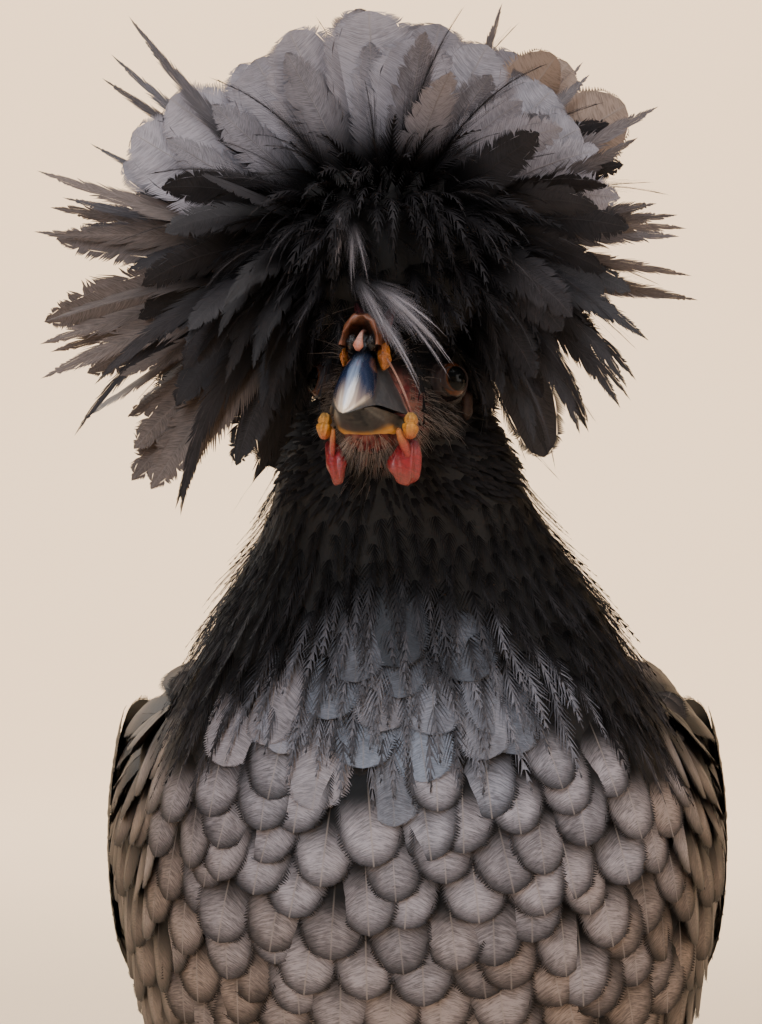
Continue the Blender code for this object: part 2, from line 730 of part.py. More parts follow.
def leg(name, side, torso, wing):
    """Feathered thigh, bare shank and foot."""
    hip, hock, ankle = (mirrored(place, side) for place in (HIP_AT, HOCK_AT, ANKLE_AT))
    knee_end = hock + (hip - hock).normalized() * 4 * MM
    thigh = tapered("thigh_" + name, hip, knee_end, 20 * MM, 8 * MM, 18, 8, 8 * MM, THIGH_DEPTH)
    clear_of(thigh, torso, wing)
    shank = tapered("shank_" + name, hock, ankle, 5.2 * MM, SHANK_RADIUS, 12, 4, -0.5 * MM)
    knob = ellipsoid("knob", hock, Vector((5.6, 6.6, 6.2)) * MM, segments=12, rings=6)
    join_all(shank, [knob])
    clear_of(shank, thigh)
    foot = foot_solid(name, side, ankle)
    clear_of(foot, shank)
    return thigh, shank, foot


def stand_on_origin(solids):
    """Moves the whole bird so that its box is centred over the origin, with its soles at zero."""
    corners = [vert.co for obj in solids for vert in obj.data.vertices]
    low = Vector(min(corner[axis] for corner in corners) for axis in range(3))
    high = Vector(max(corner[axis] for corner in corners) for axis in range(3))
    stance = bpy.data.objects.new("stance", None)
    bpy.context.scene.collection.objects.link(stance)
    stance.location = (-(low.x + high.x) / 2, -(low.y + high.y) / 2, -low.z)
    for obj in solids:
        obj.parent = stance


def main():
    clear_scene()
    plumage = finish("black_plumage", (0.020, 0.018, 0.018), 0.55)
    horn = finish("dark_horn", (0.045, 0.045, 0.05), 0.25)
    glass = finish("eye", (0.12, 0.035, 0.01), 0.08)
    red_skin = finish("red_skin", (0.50, 0.05, 0.05), 0.45)
    brown_skin = finish("brown_skin", (0.22, 0.08, 0.04), 0.4)
    white_skin = finish("white_skin", (0.62, 0.60, 0.56), 0.5)
    scales = finish("slate_scales", (0.07, 0.075, 0.085), 0.45)

    torso, neck = torso_and_neck()
    head = head_solid()
    eye_left, eye_right = eyes(head)
    upper, lower = beak(head)
    nostril_dome = nostrils(head, upper)
    small_comb = comb(head, nostril_dome)
    lobes = face_lobes(head, neck, upper, lower)
    crest = crest_solid()
    clear_of(crest, torso, neck, head, eye_left, eye_right, upper, lower, nostril_dome, small_comb)
    clear_of(crest, *lobes.values())
    tail = tail_solid()
    clear_of(tail, torso)

    looks = {"crest": (crest, plumage), "tail": (tail, plumage), "torso": (torso, plumage)}
    looks |= {"neck": (neck, plumage), "head": (head, plumage)}
    looks |= {"upper_mandible": (upper, horn), "lower_mandible": (lower, horn)}
    looks |= {"eye_left": (eye_left, glass), "eye_right": (eye_right, glass)}
    looks |= {"nostril_dome": (nostril_dome, brown_skin), "comb": (small_comb, red_skin)}
    looks |= {name: (lobe, white_skin if "ear" in name else red_skin) for name, lobe in lobes.items()}
    for name, side in SIDES.items():
        wing = wing_solid(name, side)
        clear_of(wing, torso, neck)
        thigh, shank, foot = leg(name, side, torso, wing)
        looks |= {"wing_" + name: (wing, plumage), "thigh_" + name: (thigh, plumage)}
        looks |= {"shank_" + name: (shank, scales), "foot_" + name: (foot, scales)}
    for name, (solid, material) in looks.items():
        dress(solid, name, material, 80 if "eye" in name else 40)
    stand_on_origin([solid for solid, _ in looks.values()])


main()
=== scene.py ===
"""Black crested hen, still and life size: skin, feathers, beak, face, legs and stage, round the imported
model. Sizes in the tables are millimetres; everything that is built is in metres, breast towards -Y."""

import random
from math import cos, exp, pi, radians, sin, sqrt

import bmesh
import bpy
import numpy as np
from mathutils import Matrix, Vector
from mathutils.bvhtree import BVHTree
from mathutils.kdtree import KDTree


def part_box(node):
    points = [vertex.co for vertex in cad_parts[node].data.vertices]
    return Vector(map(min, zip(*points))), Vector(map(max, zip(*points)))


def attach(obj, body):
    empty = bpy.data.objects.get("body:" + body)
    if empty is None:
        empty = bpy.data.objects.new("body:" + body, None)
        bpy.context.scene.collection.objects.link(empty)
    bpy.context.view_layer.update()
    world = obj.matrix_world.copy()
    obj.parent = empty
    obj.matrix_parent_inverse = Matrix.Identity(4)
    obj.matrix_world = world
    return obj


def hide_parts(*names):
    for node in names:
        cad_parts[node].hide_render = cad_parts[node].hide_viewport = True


bl_info = {
    "name": "Black crested hen",
    "version": (1, 0, 0),
    "blender": (4, 5, 0),
    "location": "3D View > Sidebar > Hen",
    "description": "Builds the skin, feathers, beak, face, legs and stage of a black crested hen",
    "category": "Add Mesh",
}

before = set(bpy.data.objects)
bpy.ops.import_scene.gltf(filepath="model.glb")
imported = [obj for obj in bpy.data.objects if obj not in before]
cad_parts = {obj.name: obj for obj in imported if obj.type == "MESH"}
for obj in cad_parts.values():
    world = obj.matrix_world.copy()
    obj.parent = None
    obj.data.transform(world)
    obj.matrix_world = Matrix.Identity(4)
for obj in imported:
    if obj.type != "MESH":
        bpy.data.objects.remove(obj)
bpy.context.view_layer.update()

MM = 0.001
SIDES = {"left": 1.0, "right": -1.0}
# The solids are centred over the origin once they are made: this is how far that moved the plan.
EYE_PLAN = Vector((4.9, -96.4, 307.75)) * MM
SHIFT = sum(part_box("eye_left"), Vector()) / 2 - EYE_PLAN

# Belly and back points (y, z), half width and sideways shift of the body's sections, tail to throat
BODY_STATIONS = (
    ((101, 211), (106, 236), 15, 0),
    ((93, 188), (97, 242), 29, 0),
    ((70, 152), (74, 243), 46, 0),
    ((38, 126), (38, 243), 59, 0),
    ((-2, 116), (4, 247), 67, 0),
    ((-45, 122), (-22, 254), 69, 0),
    ((-81, 148), (-36, 263), 65, 0),
    ((-101, 184), (-43, 272), 57, -1),
    ((-105, 218), (-48, 281), 48, -2),
    ((-101, 245), (-52, 289), 39, -3),
    ((-97, 266), (-55, 297), 32, -4),
    ((-96, 281), (-59, 305), 27, -5),
    ((-97, 291), (-66, 312), 20, -5.5),
)
BELLY_SQUARENESS = 0.90

# Head, in its own frame: facing -Y, origin in the middle of the skull
HEAD_AT = Vector((-5.5, -85.5, 302.5)) * MM + SHIFT
HEAD = (
    Matrix.Translation(HEAD_AT)
    @ Matrix.Rotation(radians(-13), 4, "Z")
    @ Matrix.Rotation(radians(-8), 4, "X")
)
SKULL = (15.0, 23.0, 15.5)
FACE_AT = (0, -14, -1)
FACE = (11.0, 15.0, 12.0)
CHIN_AT = (0, -21.5, -9.8)
CHIN = (7.2, 9.5, 5.0)
EYE_AT = Vector((12.6, -9.0, 4.0))
EYE_AXIS = Vector((1, -0.75, 0.08))
EYE_RADIUS = 4.6
EAR_LOBE_AT = Vector((14.6, 3.5, 1.0))
EAR_LOBE = (1.8, 3.4, 4.2)
WATTLE_AT = Vector((8.0, -21.2, -15.2))
WATTLE = (1.5, 4.6, 4.9)
FACE_FRONT = -25.0
BEAK_TIP = Vector((0, -48.0, -9.0))
BEAK_HALF_WIDTH = 8.6
CULMEN_BASE_Z = 8.5
GAPE_Z = -6.0
GAPE_CORNER_AT = Vector((9.4, -24.6, -8.0))
COMB_AT = (0, -22.5, 11.5)
COMB_HORN = ((1.6, -22.6, 12.0), (2.8, -22.4, 15.2), (4.4, -21.6, 18.8))
GAPE_AT = (9.2, -25.9, -8.2)
GAPE = (1.6, 2.3, 2.8)
# The nostrils' hood, forward over the arch to its rim and back into the dark: y, half width, height, foot
NOSTRIL_HOOD = (
    (-23.6, 2.6, 2.6, 6.6), (-26.0, 4.0, 4.4, 6.2), (-29.0, 4.7, 5.9, 6.0), (-32.0, 4.8, 6.9, 5.8),
    (-34.2, 5.25, 7.9, 5.6), (-35.4, 5.0, 7.5, 5.6), (-36.2, 5.15, 7.6, 5.6), (-36.7, 4.7, 7.1, 5.6),
    (-36.3, 4.2, 6.5, 5.6), (-35.0, 3.9, 6.1, 5.6), (-33.0, 3.6, 5.6, 5.7), (-31.0, 2.8, 4.4, 5.8),
    (-29.8, 1.2, 2.0, 6.0), (-29.6, 0.1, 0.2, 6.0),
)
NOSTRIL_WALL = ((0, -29.0, 11.0), (0, -32.5, 10.6), (0, -34.8, 9.2), (0, -36.2, 7.6), (0, -37.0, 6.0))
BEAK_EDGE = ((4.4, -33.4, 6.2), (6.0, -30.9, 3.4), (7.4, -28.6, 0.2), (8.6, -26.6, -3.2), (9.5, -25.3, -6.2))
THROAT_FOLD = (
    (6.9, -27.6, -9.2), (7.3, -26.2, -10.4), (7.7, -24.5, -11.9), (8.0, -22.8, -13.4), (8.0, -21.4, -15.0)
)

HIP_AT = Vector((35, -6, 166))
HOCK_AT = Vector((37, 16, 92))
ANKLE_AT = Vector((37, 2, 11))
TOES = ((2, 50, 4.0), (-30, 36, 3.7), (33, 38, 3.7), (172, 18, 3.4))
CLAW_LENGTH = 11.0
# Radii along a thigh, a shank and a claw, and along a toe as shares of its own radius
THIGH_RADII = (24, 26, 25, 21, 16, 11, 8.5, 7.5)
SHANK_RADII = (2.5, 5.2, 5.9, 5.3, 4.5, 4.1, 4.0, 4.1, 4.4, 4.9, 5.3)
CLAW_RADII = (2.1, 1.8, 1.35, 0.8, 0.25)
TOE_PADS = (1.15, 1.0, 1.06, 0.9, 0.98, 0.84, 0.9, 0.78, 0.84, 0.45)

WING_AT = Vector((51, 18, 204))
WING = Vector((25, 82, 42))
WING_TILT = radians(8)
SHOULDER_AT = (57, -24, 204)
SHOULDER = Vector((15, 40, 35))
CREST_AT = Vector((-8, -80, 336))
CREST_CORE = Vector((34, 32, 25))
TAIL_AT = Vector((0, 94, 229))
TAIL_CORE = (22, 29, 15)
TAIL_CORE_TILT = radians(34)
# Heights at which the crest and the head start, and the thighs end
CREST_FROM, HEAD_FROM, THIGHS_TO = 314, 284, 132

# Half width of a vane, from 0 to 1, at shares of its length
OUTLINES = {
    "scale": ((0, 0.15, 0.4, 0.66, 0.83, 0.94, 0.985, 1), (0.35, 0.62, 0.88, 1, 0.95, 0.70, 0.36, 0)),
    "broad": ((0, 0.15, 0.4, 0.7, 0.86, 0.95, 0.99, 1), (0.3, 0.6, 0.92, 1, 0.88, 0.6, 0.28, 0)),
    "fan": ((0, 0.15, 0.4, 0.66, 0.84, 0.94, 0.985, 1), (0.2, 0.42, 0.82, 1, 0.97, 0.74, 0.4, 0)),
    "long": ((0, 0.1, 0.3, 0.7, 0.88, 0.96, 1), (0.45, 0.8, 1, 0.92, 0.66, 0.36, 0)),
    "lance": ((0, 0.12, 0.3, 0.55, 0.8, 0.93, 1), (0.35, 0.8, 1, 0.85, 0.45, 0.2, 0)),
}

# Crest feathers by group, over two angles in degrees: the clock angle, seen from the front with 0 straight
# up and 90 to the bird's left, and the lean towards the back. Then the first and last length, half width,
# droop in degrees, how deep the root starts, template, face and look (light, warmth). The light is painted
# sheen and light on the crest's black feathers.
CREST_GROUPS = (
    ("fan", 9, (-66, 8), (-10, 4), (43, 39), 12.4, (-8, 8), 0.50, "fan", "front", (0.86, 0.42)),
    ("fan", 6, (6, 54), (-8, 8), (38, 34), 11.0, (-6, 12), 0.50, "fan", "front", (0.8, 0.40)),
    ("fan", 7, (-60, 46), (-14, -6), (36, 33), 7.5, (-4, 16), 0.55, "long", "front", (0.55, 0.40)),
    ("fan", 13, (-72, 60), (4, 18), (43, 38), 10.8, (-6, 10), 0.55, "fan", "front", (0.62, 0.45)),
    ("fan", 11, (-72, 62), (22, 36), (42, 40), 11.0, (0, 12), 0.60, "fan", "front", (0.42, 0.45)),
    ("fan", 5, (14, 66), (-24, -8), (32, 34), 6.5, (20, 50), 0.60, "long", "front", (0.8, 0.55)),
    ("left", 6, (30, 56), (6, 22), (44, 49), 5.0, (-10, 4), 0.60, "lance", "front", (0.5, 0.6)),
    ("left", 4, (34, 52), (10, 24), (45, 50), 10.0, (-6, 6), 0.60, "broad", "front", (0.95, 0.98)),
    ("right", 6, (-46, -84), (-8, 10), (60, 46), 3.4, (-14, 4), 0.70, "lance", "front", (0.25, 0.45)),
    ("right", 9, (-86, -106), (-14, 14), (55, 57), 5.5, (-8, 14), 0.65, "lance", "front", (0.42, 0.75)),
    ("right", 4, (-88, -104), (-6, 12), (50, 53), 8.0, (0, 14), 0.65, "long", "front", (0.36, 0.7)),
    ("right", 28, (-60, -138), (-44, 42), (34, 37), 6.0, (8, 42), 0.70, "long", "front", (0.07, 0.5)),
    ("right", 8, (-112, -136), (-10, 14), (46, 52), 7.5, (-4, 18), 0.70, "long", "front", (0.45, 0.8)),
    ("right", 9, (-112, -144), (-24, 14), (58, 48), 4.2, (32, 54), 0.70, "lance", "front", (0.10, 0.5)),
    ("left", 28, (54, 130), (-44, 42), (37, 27), 6.0, (8, 42), 0.70, "long", "front", (0.08, 0.5)),
    ("left", 9, (66, 100), (-16, 16), (38, 48), 4.6, (-6, 16), 0.70, "lance", "front", (0.4, 0.65)),
    ("left", 10, (98, 134), (-28, 14), (44, 38), 5.0, (28, 48), 0.70, "lance", "front", (0.08, 0.5)),
    ("left", 9, (122, 158), (-24, 18), (25, 22), 6.0, (20, 42), 0.75, "lance", "front", (0.05, 0.5)),
    ("front", 60, (-75, 70), (-70, -34), (30, 28), 3.4, (50, 100), 0.75, "neck", "up", (0.05, 0.4)),
    ("front", 50, (-150, 140), (-76, -50), (24, 22), 3.2, (40, 90), 0.85, "neck", "up", (0.03, 0.4)),
    ("right", 10, (-92, -144), (-54, -32), (36, 29), 5.0, (42, 62), 0.80, "lance", "front", (0.05, 0.5)),
    ("back", 20, (-66, 66), (40, 78), (44, 44), 9.5, (8, 32), 0.60, "fan", "up", (0.22, 0.45)),
    ("back", 28, (-170, 170), (30, 76), (48, 48), 8.0, (28, 58), 0.65, "fan", "back", (0.13, 0.45)),
    ("wisps", 44, (-150, 150), (-30, 60), (44, 44), 6.5, (0, 50), 0.65, "plume", "front", (0.10, 0.5)),
    ("wisps", 24, (-120, 120), (-60, -20), (30, 30), 5.5, (30, 80), 0.70, "plume", "front", (0.12, 0.45)),
)
FACES = {"front": Vector((0, -1, 0.25)), "up": Vector((0, -0.2, 1)), "back": Vector((0, 1, 0.4))}

# The loose tuft over the left of the beak: root and tip, bend, half width and light of each plume. The light
# is painted highlight on the black plumes.
FORELOCK = (
    ((-16.2, -111, 347), (-16.5, -116, 330), 10, 3.6, 0.75),
    ((-15.0, -111, 344), (-13.0, -117, 326), 20, 3.0, 0.55),
    ((-16.5, -112, 333), (-7.0, -121, 312), 24, 3.6, 0.6),
    ((-16.0, -112, 331), (6.5, -121, 309), 30, 5.6, 0.75),
    ((-15.0, -112, 330), (3.4, -120, 316), 26, 4.0, 0.9),
    ((-15.0, -112, 328), (-0.4, -124, 304.5), 26, 4.0, 0.7),
)

# Wing feathers by tier in shares of half length and half height: count, first and last root, first and
# last tip, half width, rise of the tip off the wing and look
WING_TIERS = (
    ("long", 5, (0.10, -0.52), (0.30, -0.20), (1.10, -0.46), (1.36, -0.10), 8.0, 0.5, (0.24, 0.8)),
    ("long", 12, (-0.10, -0.54), (0.34, 0.42), (0.66, -0.80), (1.20, 0.24), 8.0, 0.9, (0.28, 0.85)),
    ("broad", 11, (-0.16, -0.54), (0.10, 0.46), (0.40, -0.80), (0.82, 0.34), 8.0, 1.4, (0.36, 0.85)),
    ("scale", 9, (-0.22, -0.50), (-0.02, 0.48), (0.20, -0.74), (0.50, 0.42), 7.6, 1.6, (0.45, 0.85)),
)
# Tail feathers on each side by tier: count, length, half width, lift, and rise and outward turn of the
# first and the last
TAIL_TIERS = (
    ("long", 7, 116, 12.5, 0.0, (50, 5), (22, 25), (0.2, 0.5)),
    ("broad", 4, 66, 12.0, 5.0, (44, 9), (26, 26), (0.2, 0.5)),
    ("broad", 4, 46, 11.0, 7.5, (38, 4), (20, 28), (0.24, 0.5)),
    ("broad", 7, 54, 10.0, -9.0, (30, 3), (8, 26), (0.25, 0.5)),
)

# Bare skins: the colour at the start, middle and end of a piece, scale of the grain, roughness and wetness
SKINS = {
    "lids": (((0.030, 0.014, 0.011), (0.016, 0.008, 0.007), (0.006, 0.005, 0.005)), 2200, 0.5, 0.05),
    "nostril skin": (("skin_brown", (0.15, 0.048, 0.020), (0.004, 0.0025, 0.002)), 1800, 0.2, 0.15),
    "wall between the nostrils": (
        ((0.16, 0.05, 0.03), (0.55, 0.30, 0.24), (0.45, 0.17, 0.12)), 1800, 0.25, 0.15
    ),
    "nostril floor": (((0.010, 0.008, 0.009), (0.02, 0.014, 0.014), (0.008, 0.006, 0.006)), 900, 0.12, 0.15),
    "amber skin": (((0.30, 0.085, 0.012), (0.42, 0.14, 0.022), (0.12, 0.03, 0.012)), 1300, 0.14, 0.15),
    "red skin": (((0.20, 0.03, 0.02), (0.24, 0.008, 0.014), (0.13, 0.005, 0.009)), 1500, 0.26, 0.25),
    "ear lobe skin": (((0.03, 0.015, 0.012), (0.045, 0.022, 0.018), (0.02, 0.009, 0.008)), 1500, 0.38, 0.02),
    "gape skin": (((0.46, 0.24, 0.07), (0.50, 0.20, 0.025), (0.34, 0.08, 0.03)), 900, 0.25, 0.15),
    "edge skin": (((0.20, 0.08, 0.05), (0.40, 0.22, 0.18), (0.26, 0.08, 0.06)), 1300, 0.3, 0.2),
    "throat folds": (((0.46, 0.17, 0.05), (0.34, 0.05, 0.035), (0.20, 0.010, 0.014)), 1300, 0.26, 0.15),
    "comb skin": (((0.05, 0.006, 0.008), (0.09, 0.010, 0.014), (0.04, 0.005, 0.007)), 1500, 0.38, 0.15),
}

# Stage, in metres: radius and height along the floor's outline, the world's light, and each lamp's name,
# place, target, width, height, power and tint
FLOOR_OUTLINE = ((0, 0), (2, 0), (3.2, 0), (3.7, 0.04), (4.1, 0.2), (4.3, 0.5), (4.36, 0.9), (4.38, 2.2))
WORLD_COLOUR, WORLD_STRENGTH = (0.92, 0.90, 0.88, 1), 0.24
LIT = (-0.01, -0.08, 0.30)
LAMPS = (
    ("window", (-0.42, -1.25, 0.80), LIT, 0.35, 1.1, 15, (0.84, 0.92, 1.0)),
    ("above", (0.15, -0.35, 1.35), LIT, 0.9, 0.9, 15, (1.0, 0.98, 0.96)),
    ("left", (1.2, -0.5, 0.6), LIT, 0.8, 0.8, 6, (1.0, 0.95, 0.90)),
    ("rim", (-0.9, 0.9, 1.0), LIT, 0.7, 0.7, 12, (1.0, 0.97, 0.94)),
    ("wall", (0.0, 2.2, 2.4), (0, 4.3, 0.4), 2.0, 1.0, 170, (1.0, 0.92, 0.82)),
)
# Camera: its place, its focal length and the picture's height in pixels, and the sensor's size
CAMERA_AT = (-8.7, -1033, 280)
FOCAL_LENGTH, PICTURE_HEIGHT, SENSOR = 4410, 1024, 36.0


def size(name, text, default, **more):
    return bpy.props.FloatProperty(name=name, description=text, default=default, unit="LENGTH", **more)


def count(name, text, default):
    return bpy.props.IntProperty(name=name, description=text, default=default, min=1)


def colour(name, text, default):
    return bpy.props.FloatVectorProperty(
        name=name, description=text, default=default, size=3, subtype="COLOR", min=0.0, max=1.0
    )


class HenSizes(bpy.types.PropertyGroup):
    """Sizes of the coat that a user may change."""

    coat_depth: size("Coat depth", "How far the skin lies inside the plumage on the body", 4.0 * MM)
    chest_length: size("Chest feather length", "Whole length of a breast or back feather", 28 * MM)
    chest_half: size("Chest feather half width", "From shaft to edge", 7.8 * MM)
    chest_spacing: size("Chest feather spacing", "Between the roots of neighbours in a row", 10.8 * MM)
    neck_length: size("Neck feather length", "Soft feathers of the neck", 19 * MM)
    neck_half: size("Neck feather half width", "From shaft to edge", 2.7 * MM)
    neck_spacing: size("Neck feather spacing", "Between the roots of neighbours", 3.7 * MM)
    face_spacing: size("Face feather spacing", "Between the roots of neighbours", 2.1 * MM)
    crest_seed: count("Crest seed", "Start of the random draws for the crest", 11)


class HenColours(bpy.types.PropertyGroup):
    """Colours of the plumage, skin, horn and stage."""

    feather_black: colour("Feather black", "Base and edges of each feather", (0.0030, 0.0026, 0.0028))
    # The middles of the feathers are painted sheen and light on the black plumage: the grey and the blue
    # wholly, the brown partly, the rest of the brown the feathers' own warm tint.
    feather_brown_and_sheen: colour("Feather brown and sheen", "Middle of the warm feathers", (0.245, 0.178, 0.145))
    feather_sheen_grey: colour("Feather sheen grey", "Middle of the crest's feathers", (0.280, 0.250, 0.272))
    feather_sheen_blue: colour("Feather sheen blue", "Sheen at the top of the breast", (0.165, 0.185, 0.235))
    feather_shaft: colour("Feather shaft", "The pale shaft", (0.24, 0.20, 0.18))
    horn_dark: colour("Dark horn", "Root and ridge of the beak", (0.006, 0.009, 0.018))
    horn_pale: colour("Pale horn", "Tip of the beak", (0.60, 0.48, 0.38))
    gape_yellow: colour("Gape yellow", "Swollen corners of the mouth", (0.62, 0.27, 0.035))
    skin_pink: colour("Pink skin", "Bare skin along the beak", (0.50, 0.20, 0.15))
    skin_red: colour("Red skin", "Wattles and comb", (0.24, 0.010, 0.017))
    skin_brown: colour("Brown skin", "Raised rims of the nostrils", (0.085, 0.026, 0.012))
    skin_dark: colour("Dark skin", "Skin under the feathers", (0.008, 0.007, 0.007))
    iris: colour("Iris", "Ring of the eye", (0.060, 0.020, 0.007))
    scale_slate: colour("Slate scales", "Shanks and feet", (0.075, 0.082, 0.095))
    wall: colour("Backdrop", "Floor and backdrop", (0.84, 0.68, 0.50))


# ---------------------------------------------------------------------------------------- finishes


class Value:
    """A socket of a finish. A sum on it reads as a sum and adds its Math nodes."""

    def __init__(self, finish, socket):
        self.finish, self.socket = finish, socket

    def math(self, operation, one, two=0.0, **settings):
        return self.finish.node("ShaderNodeMath", {"operation": operation, **settings}, [one, two])

    def __add__(self, other):
        return self.math("ADD", self, other)

    def __sub__(self, other):
        return self.math("SUBTRACT", self, other)

    def __rsub__(self, other):
        return self.math("SUBTRACT", other, self)

    def __mul__(self, other):
        return self.math("MULTIPLY", self, other)

    def __truediv__(self, other):
        return self.math("DIVIDE", self, other)

    def __pow__(self, other):
        return self.math("POWER", self, other)

    def __abs__(self):
        return self.math("ABSOLUTE", self)

    __radd__, __rmul__ = __add__, __mul__

    def clamped(self):
        return self.math("ADD", self, 0.0, use_clamp=True)


class Finish:
    """A material that is written as expressions."""

    def __init__(self, name, **constants):
        self.material = bpy.data.materials.new(name)
        self.material.use_nodes = True
        self.tree = self.material.node_tree
        self.shader = self.tree.nodes["Principled BSDF"]
        for key, value in constants.items():
            self.shader.inputs[key.replace("_", " ")].default_value = value

    def feed(self, socket, value):
        if isinstance(value, Value):
            self.tree.links.new(value.socket, socket)
        elif hasattr(socket, "default_value"):
            plain = isinstance(value, (int, float))
            wide = socket.type == "RGBA" and not plain and len(value) == 3
            socket.default_value = (*value, 1.0) if wide else value

    def node(self, kind, settings=None, inputs=(), output=0):
        made = self.tree.nodes.new(kind)
        for key, value in (settings or {}).items():
            setattr(made, key, value)
        pairs = inputs.items() if isinstance(inputs, dict) else enumerate(inputs)
        for key, value in pairs:
            self.feed(made.inputs[key], value)
        return Value(self, made.outputs[output])

    def set(self, **inputs):
        for key, value in inputs.items():
            self.feed(self.shader.inputs[key.replace("_", " ")], value)
        return self.material

    def band(self, value, start, end, low=0.0, high=1.0):
        """A soft step from low at start to high at end."""
        settings = {"interpolation_type": "SMOOTHSTEP"}
        return self.node("ShaderNodeMapRange", settings, [value, start, end, low, high])

    def mix(self, factor, one, two):
        return self.node("ShaderNodeMix", {"data_type": "RGBA"}, {0: factor, 6: one, 7: two}, 2)

    def place(self):
        return self.node("ShaderNodeTexCoord", output=3)

    def uv(self, name):
        return self.node("ShaderNodeUVMap", {"uv_map": name})

    def split(self, vector):
        parts = self.node("ShaderNodeSeparateXYZ", inputs=[vector]).socket.node
        return [Value(self, socket) for socket in parts.outputs]

    def join(self, *parts):
        return self.node("ShaderNodeCombineXYZ", inputs=parts)

    def attribute(self, name, output="Vector"):
        return self.node("ShaderNodeAttribute", {"attribute_name": name}, output=output)

    def noise(self, vector, scale, detail=2.0, roughness=0.5):
        values = {"Vector": vector, "Scale": scale, "Detail": detail, "Roughness": roughness}
        return self.node("ShaderNodeTexNoise", inputs=values)

    def bump(self, height, strength, distance):
        values = {"Strength": strength, "Distance": distance, "Height": height}
        return self.node("ShaderNodeBump", inputs=values)


def plumage(
    colours, name="feathers", roughness=0.44, streak=0.5, shaft=0.6, shine=0.12, rim=1.12, root=0.45
):
    """Feathers: black roots and edges, paler middles with fine barbs and a light shaft. The black root is
    partly the feathers' own and partly painted shade of the feather that overlaps it, and the black edges are
    partly own lacing and partly painted shade under each edge. The paler middles are painted sheen and light
    on the black plumage, the brown of them partly the feathers' own tint. The black starts at the share rim of
    the half width, and ends at the share root of the length."""
    finish = Finish(name, Specular_IOR_Level=shine)
    across, along, _ = finish.split(finish.uv("Vane"))
    reach, barb, _ = finish.split(finish.uv("Barb"))
    light, warm, chance = finish.split(finish.attribute("look"))
    across = abs(across * 2 - 1)
    fine = finish.noise(finish.join(reach * 1.4, barb * 2.6, chance * 40), 1.0, 3.0, 0.7)
    soft = finish.noise(finish.join(across * 1.5, along * 3, chance * 70), 1.6, 2.0)
    end = ((along - 0.56) * 2.2).clamped()
    # Painted shade: the middle mask keeps each feather black towards its root, partly its own black and partly
    # painted shade of the feather above, and towards its edges, partly own lacing and partly painted shade
    # under the edge.
    middle = finish.band(across**2 + end**2, rim, rim - 0.94) * finish.band(along, root, root + 0.40)
    grain = 1 - streak + finish.band(fine, 0.28, 0.72) * streak * 2
    # The look's light scales how much painted sheen and light each feather's middle takes; the shaft line
    # below follows it too.
    tone = (middle * grain * (0.55 + soft * 0.9) * light).clamped()
    # Painted sheen and light: blue and grey on the black plumage, and brown partly the feathers' own warm
    # tint.
    painted_sheen_blue_grey = finish.mix(finish.band(warm, 0.0, 0.4), colours.feather_sheen_blue, colours.feather_sheen_grey)
    pale = finish.mix(finish.band(warm, 0.45, 0.9), painted_sheen_blue_grey, colours.feather_brown_and_sheen)
    coat = finish.mix(tone, colours.feather_black, pale)
    line = finish.band(across, 0.035, 0.008) * finish.band(along, 0.3, 0.6)
    line = line * (light * 0.9).clamped() * shaft
    coat = finish.mix(line, coat, colours.feather_shaft)
    return finish.set(
        Base_Color=coat,
        Roughness=roughness + 0.22 * fine - 0.1 * tone,
        Normal=finish.bump(fine, 0.35, 0.06 * MM),
    )


def skin_finish(colours):
    """Dark skin, reddish round the beak and throat, with pores."""
    finish = Finish("hen skin", Specular_IOR_Level=0.15, Subsurface_Weight=0.05, Subsurface_Scale=0.002)
    place = finish.place()
    grain = finish.noise(place, 900.0, 3.0)
    heart = HEAD @ (Vector((0, -22, -9)) * MM)
    away = finish.node("ShaderNodeVectorMath", {"operation": "DISTANCE"}, [place, tuple(heart)], 1)
    red = finish.band(away, 0.016, 0.011)
    patches = finish.band(finish.noise(place, 260.0), 0.35, 0.65)
    blotch = finish.mix(patches, colours.skin_red, colours.skin_pink)
    return finish.set(
        Base_Color=finish.mix(red * 0.35 * finish.band(grain, 0.2, 0.6), colours.skin_dark, blotch),
        Roughness=0.5 + 0.2 * grain,
        Normal=finish.bump(grain, 0.5, 0.3 * MM),
    )


def soft_skin(name, colours):
    """Thin bare skin whose colour runs along the piece, finely creased and a little wet, with painted shade
    darkening it where its creases and pores sink. A shade is a colour or the name of one of the hen's."""
    shades, grain_scale, roughness, wet = SKINS[name]
    finish = Finish(
        name, Specular_IOR_Level=0.2 + wet * 0.8, Coat_Weight=wet, Coat_Roughness=0.2,
        Subsurface_Weight=0.03, Subsurface_Scale=0.001,
    )
    place = finish.place()
    around, along, _ = finish.split(finish.uv("Surface"))
    grain = finish.noise(place, grain_scale, 4.0, 0.65)
    crease = finish.noise(finish.join(around * 3, along * 26, 0.0), 2.0, 3.0)
    first, second, third = (getattr(colours, s) if isinstance(s, str) else s for s in shades)
    run = finish.mix(finish.band(along, 0.05, 0.55), first, second)
    run = finish.mix(finish.band(along, 0.5, 0.95), run, third)
    # Painted shade: the colour darkens where the creases and pores sink.
    dark = finish.mix(0.5, run, colours.skin_dark)
    base = finish.mix(finish.band(grain * crease, 0.34, 0.16) * 0.8, run, dark)
    return finish.set(
        Base_Color=base,
        Roughness=roughness + 0.25 * grain,
        Normal=finish.bump(grain * 0.5 + crease, 0.6, 0.25 * MM),
    )


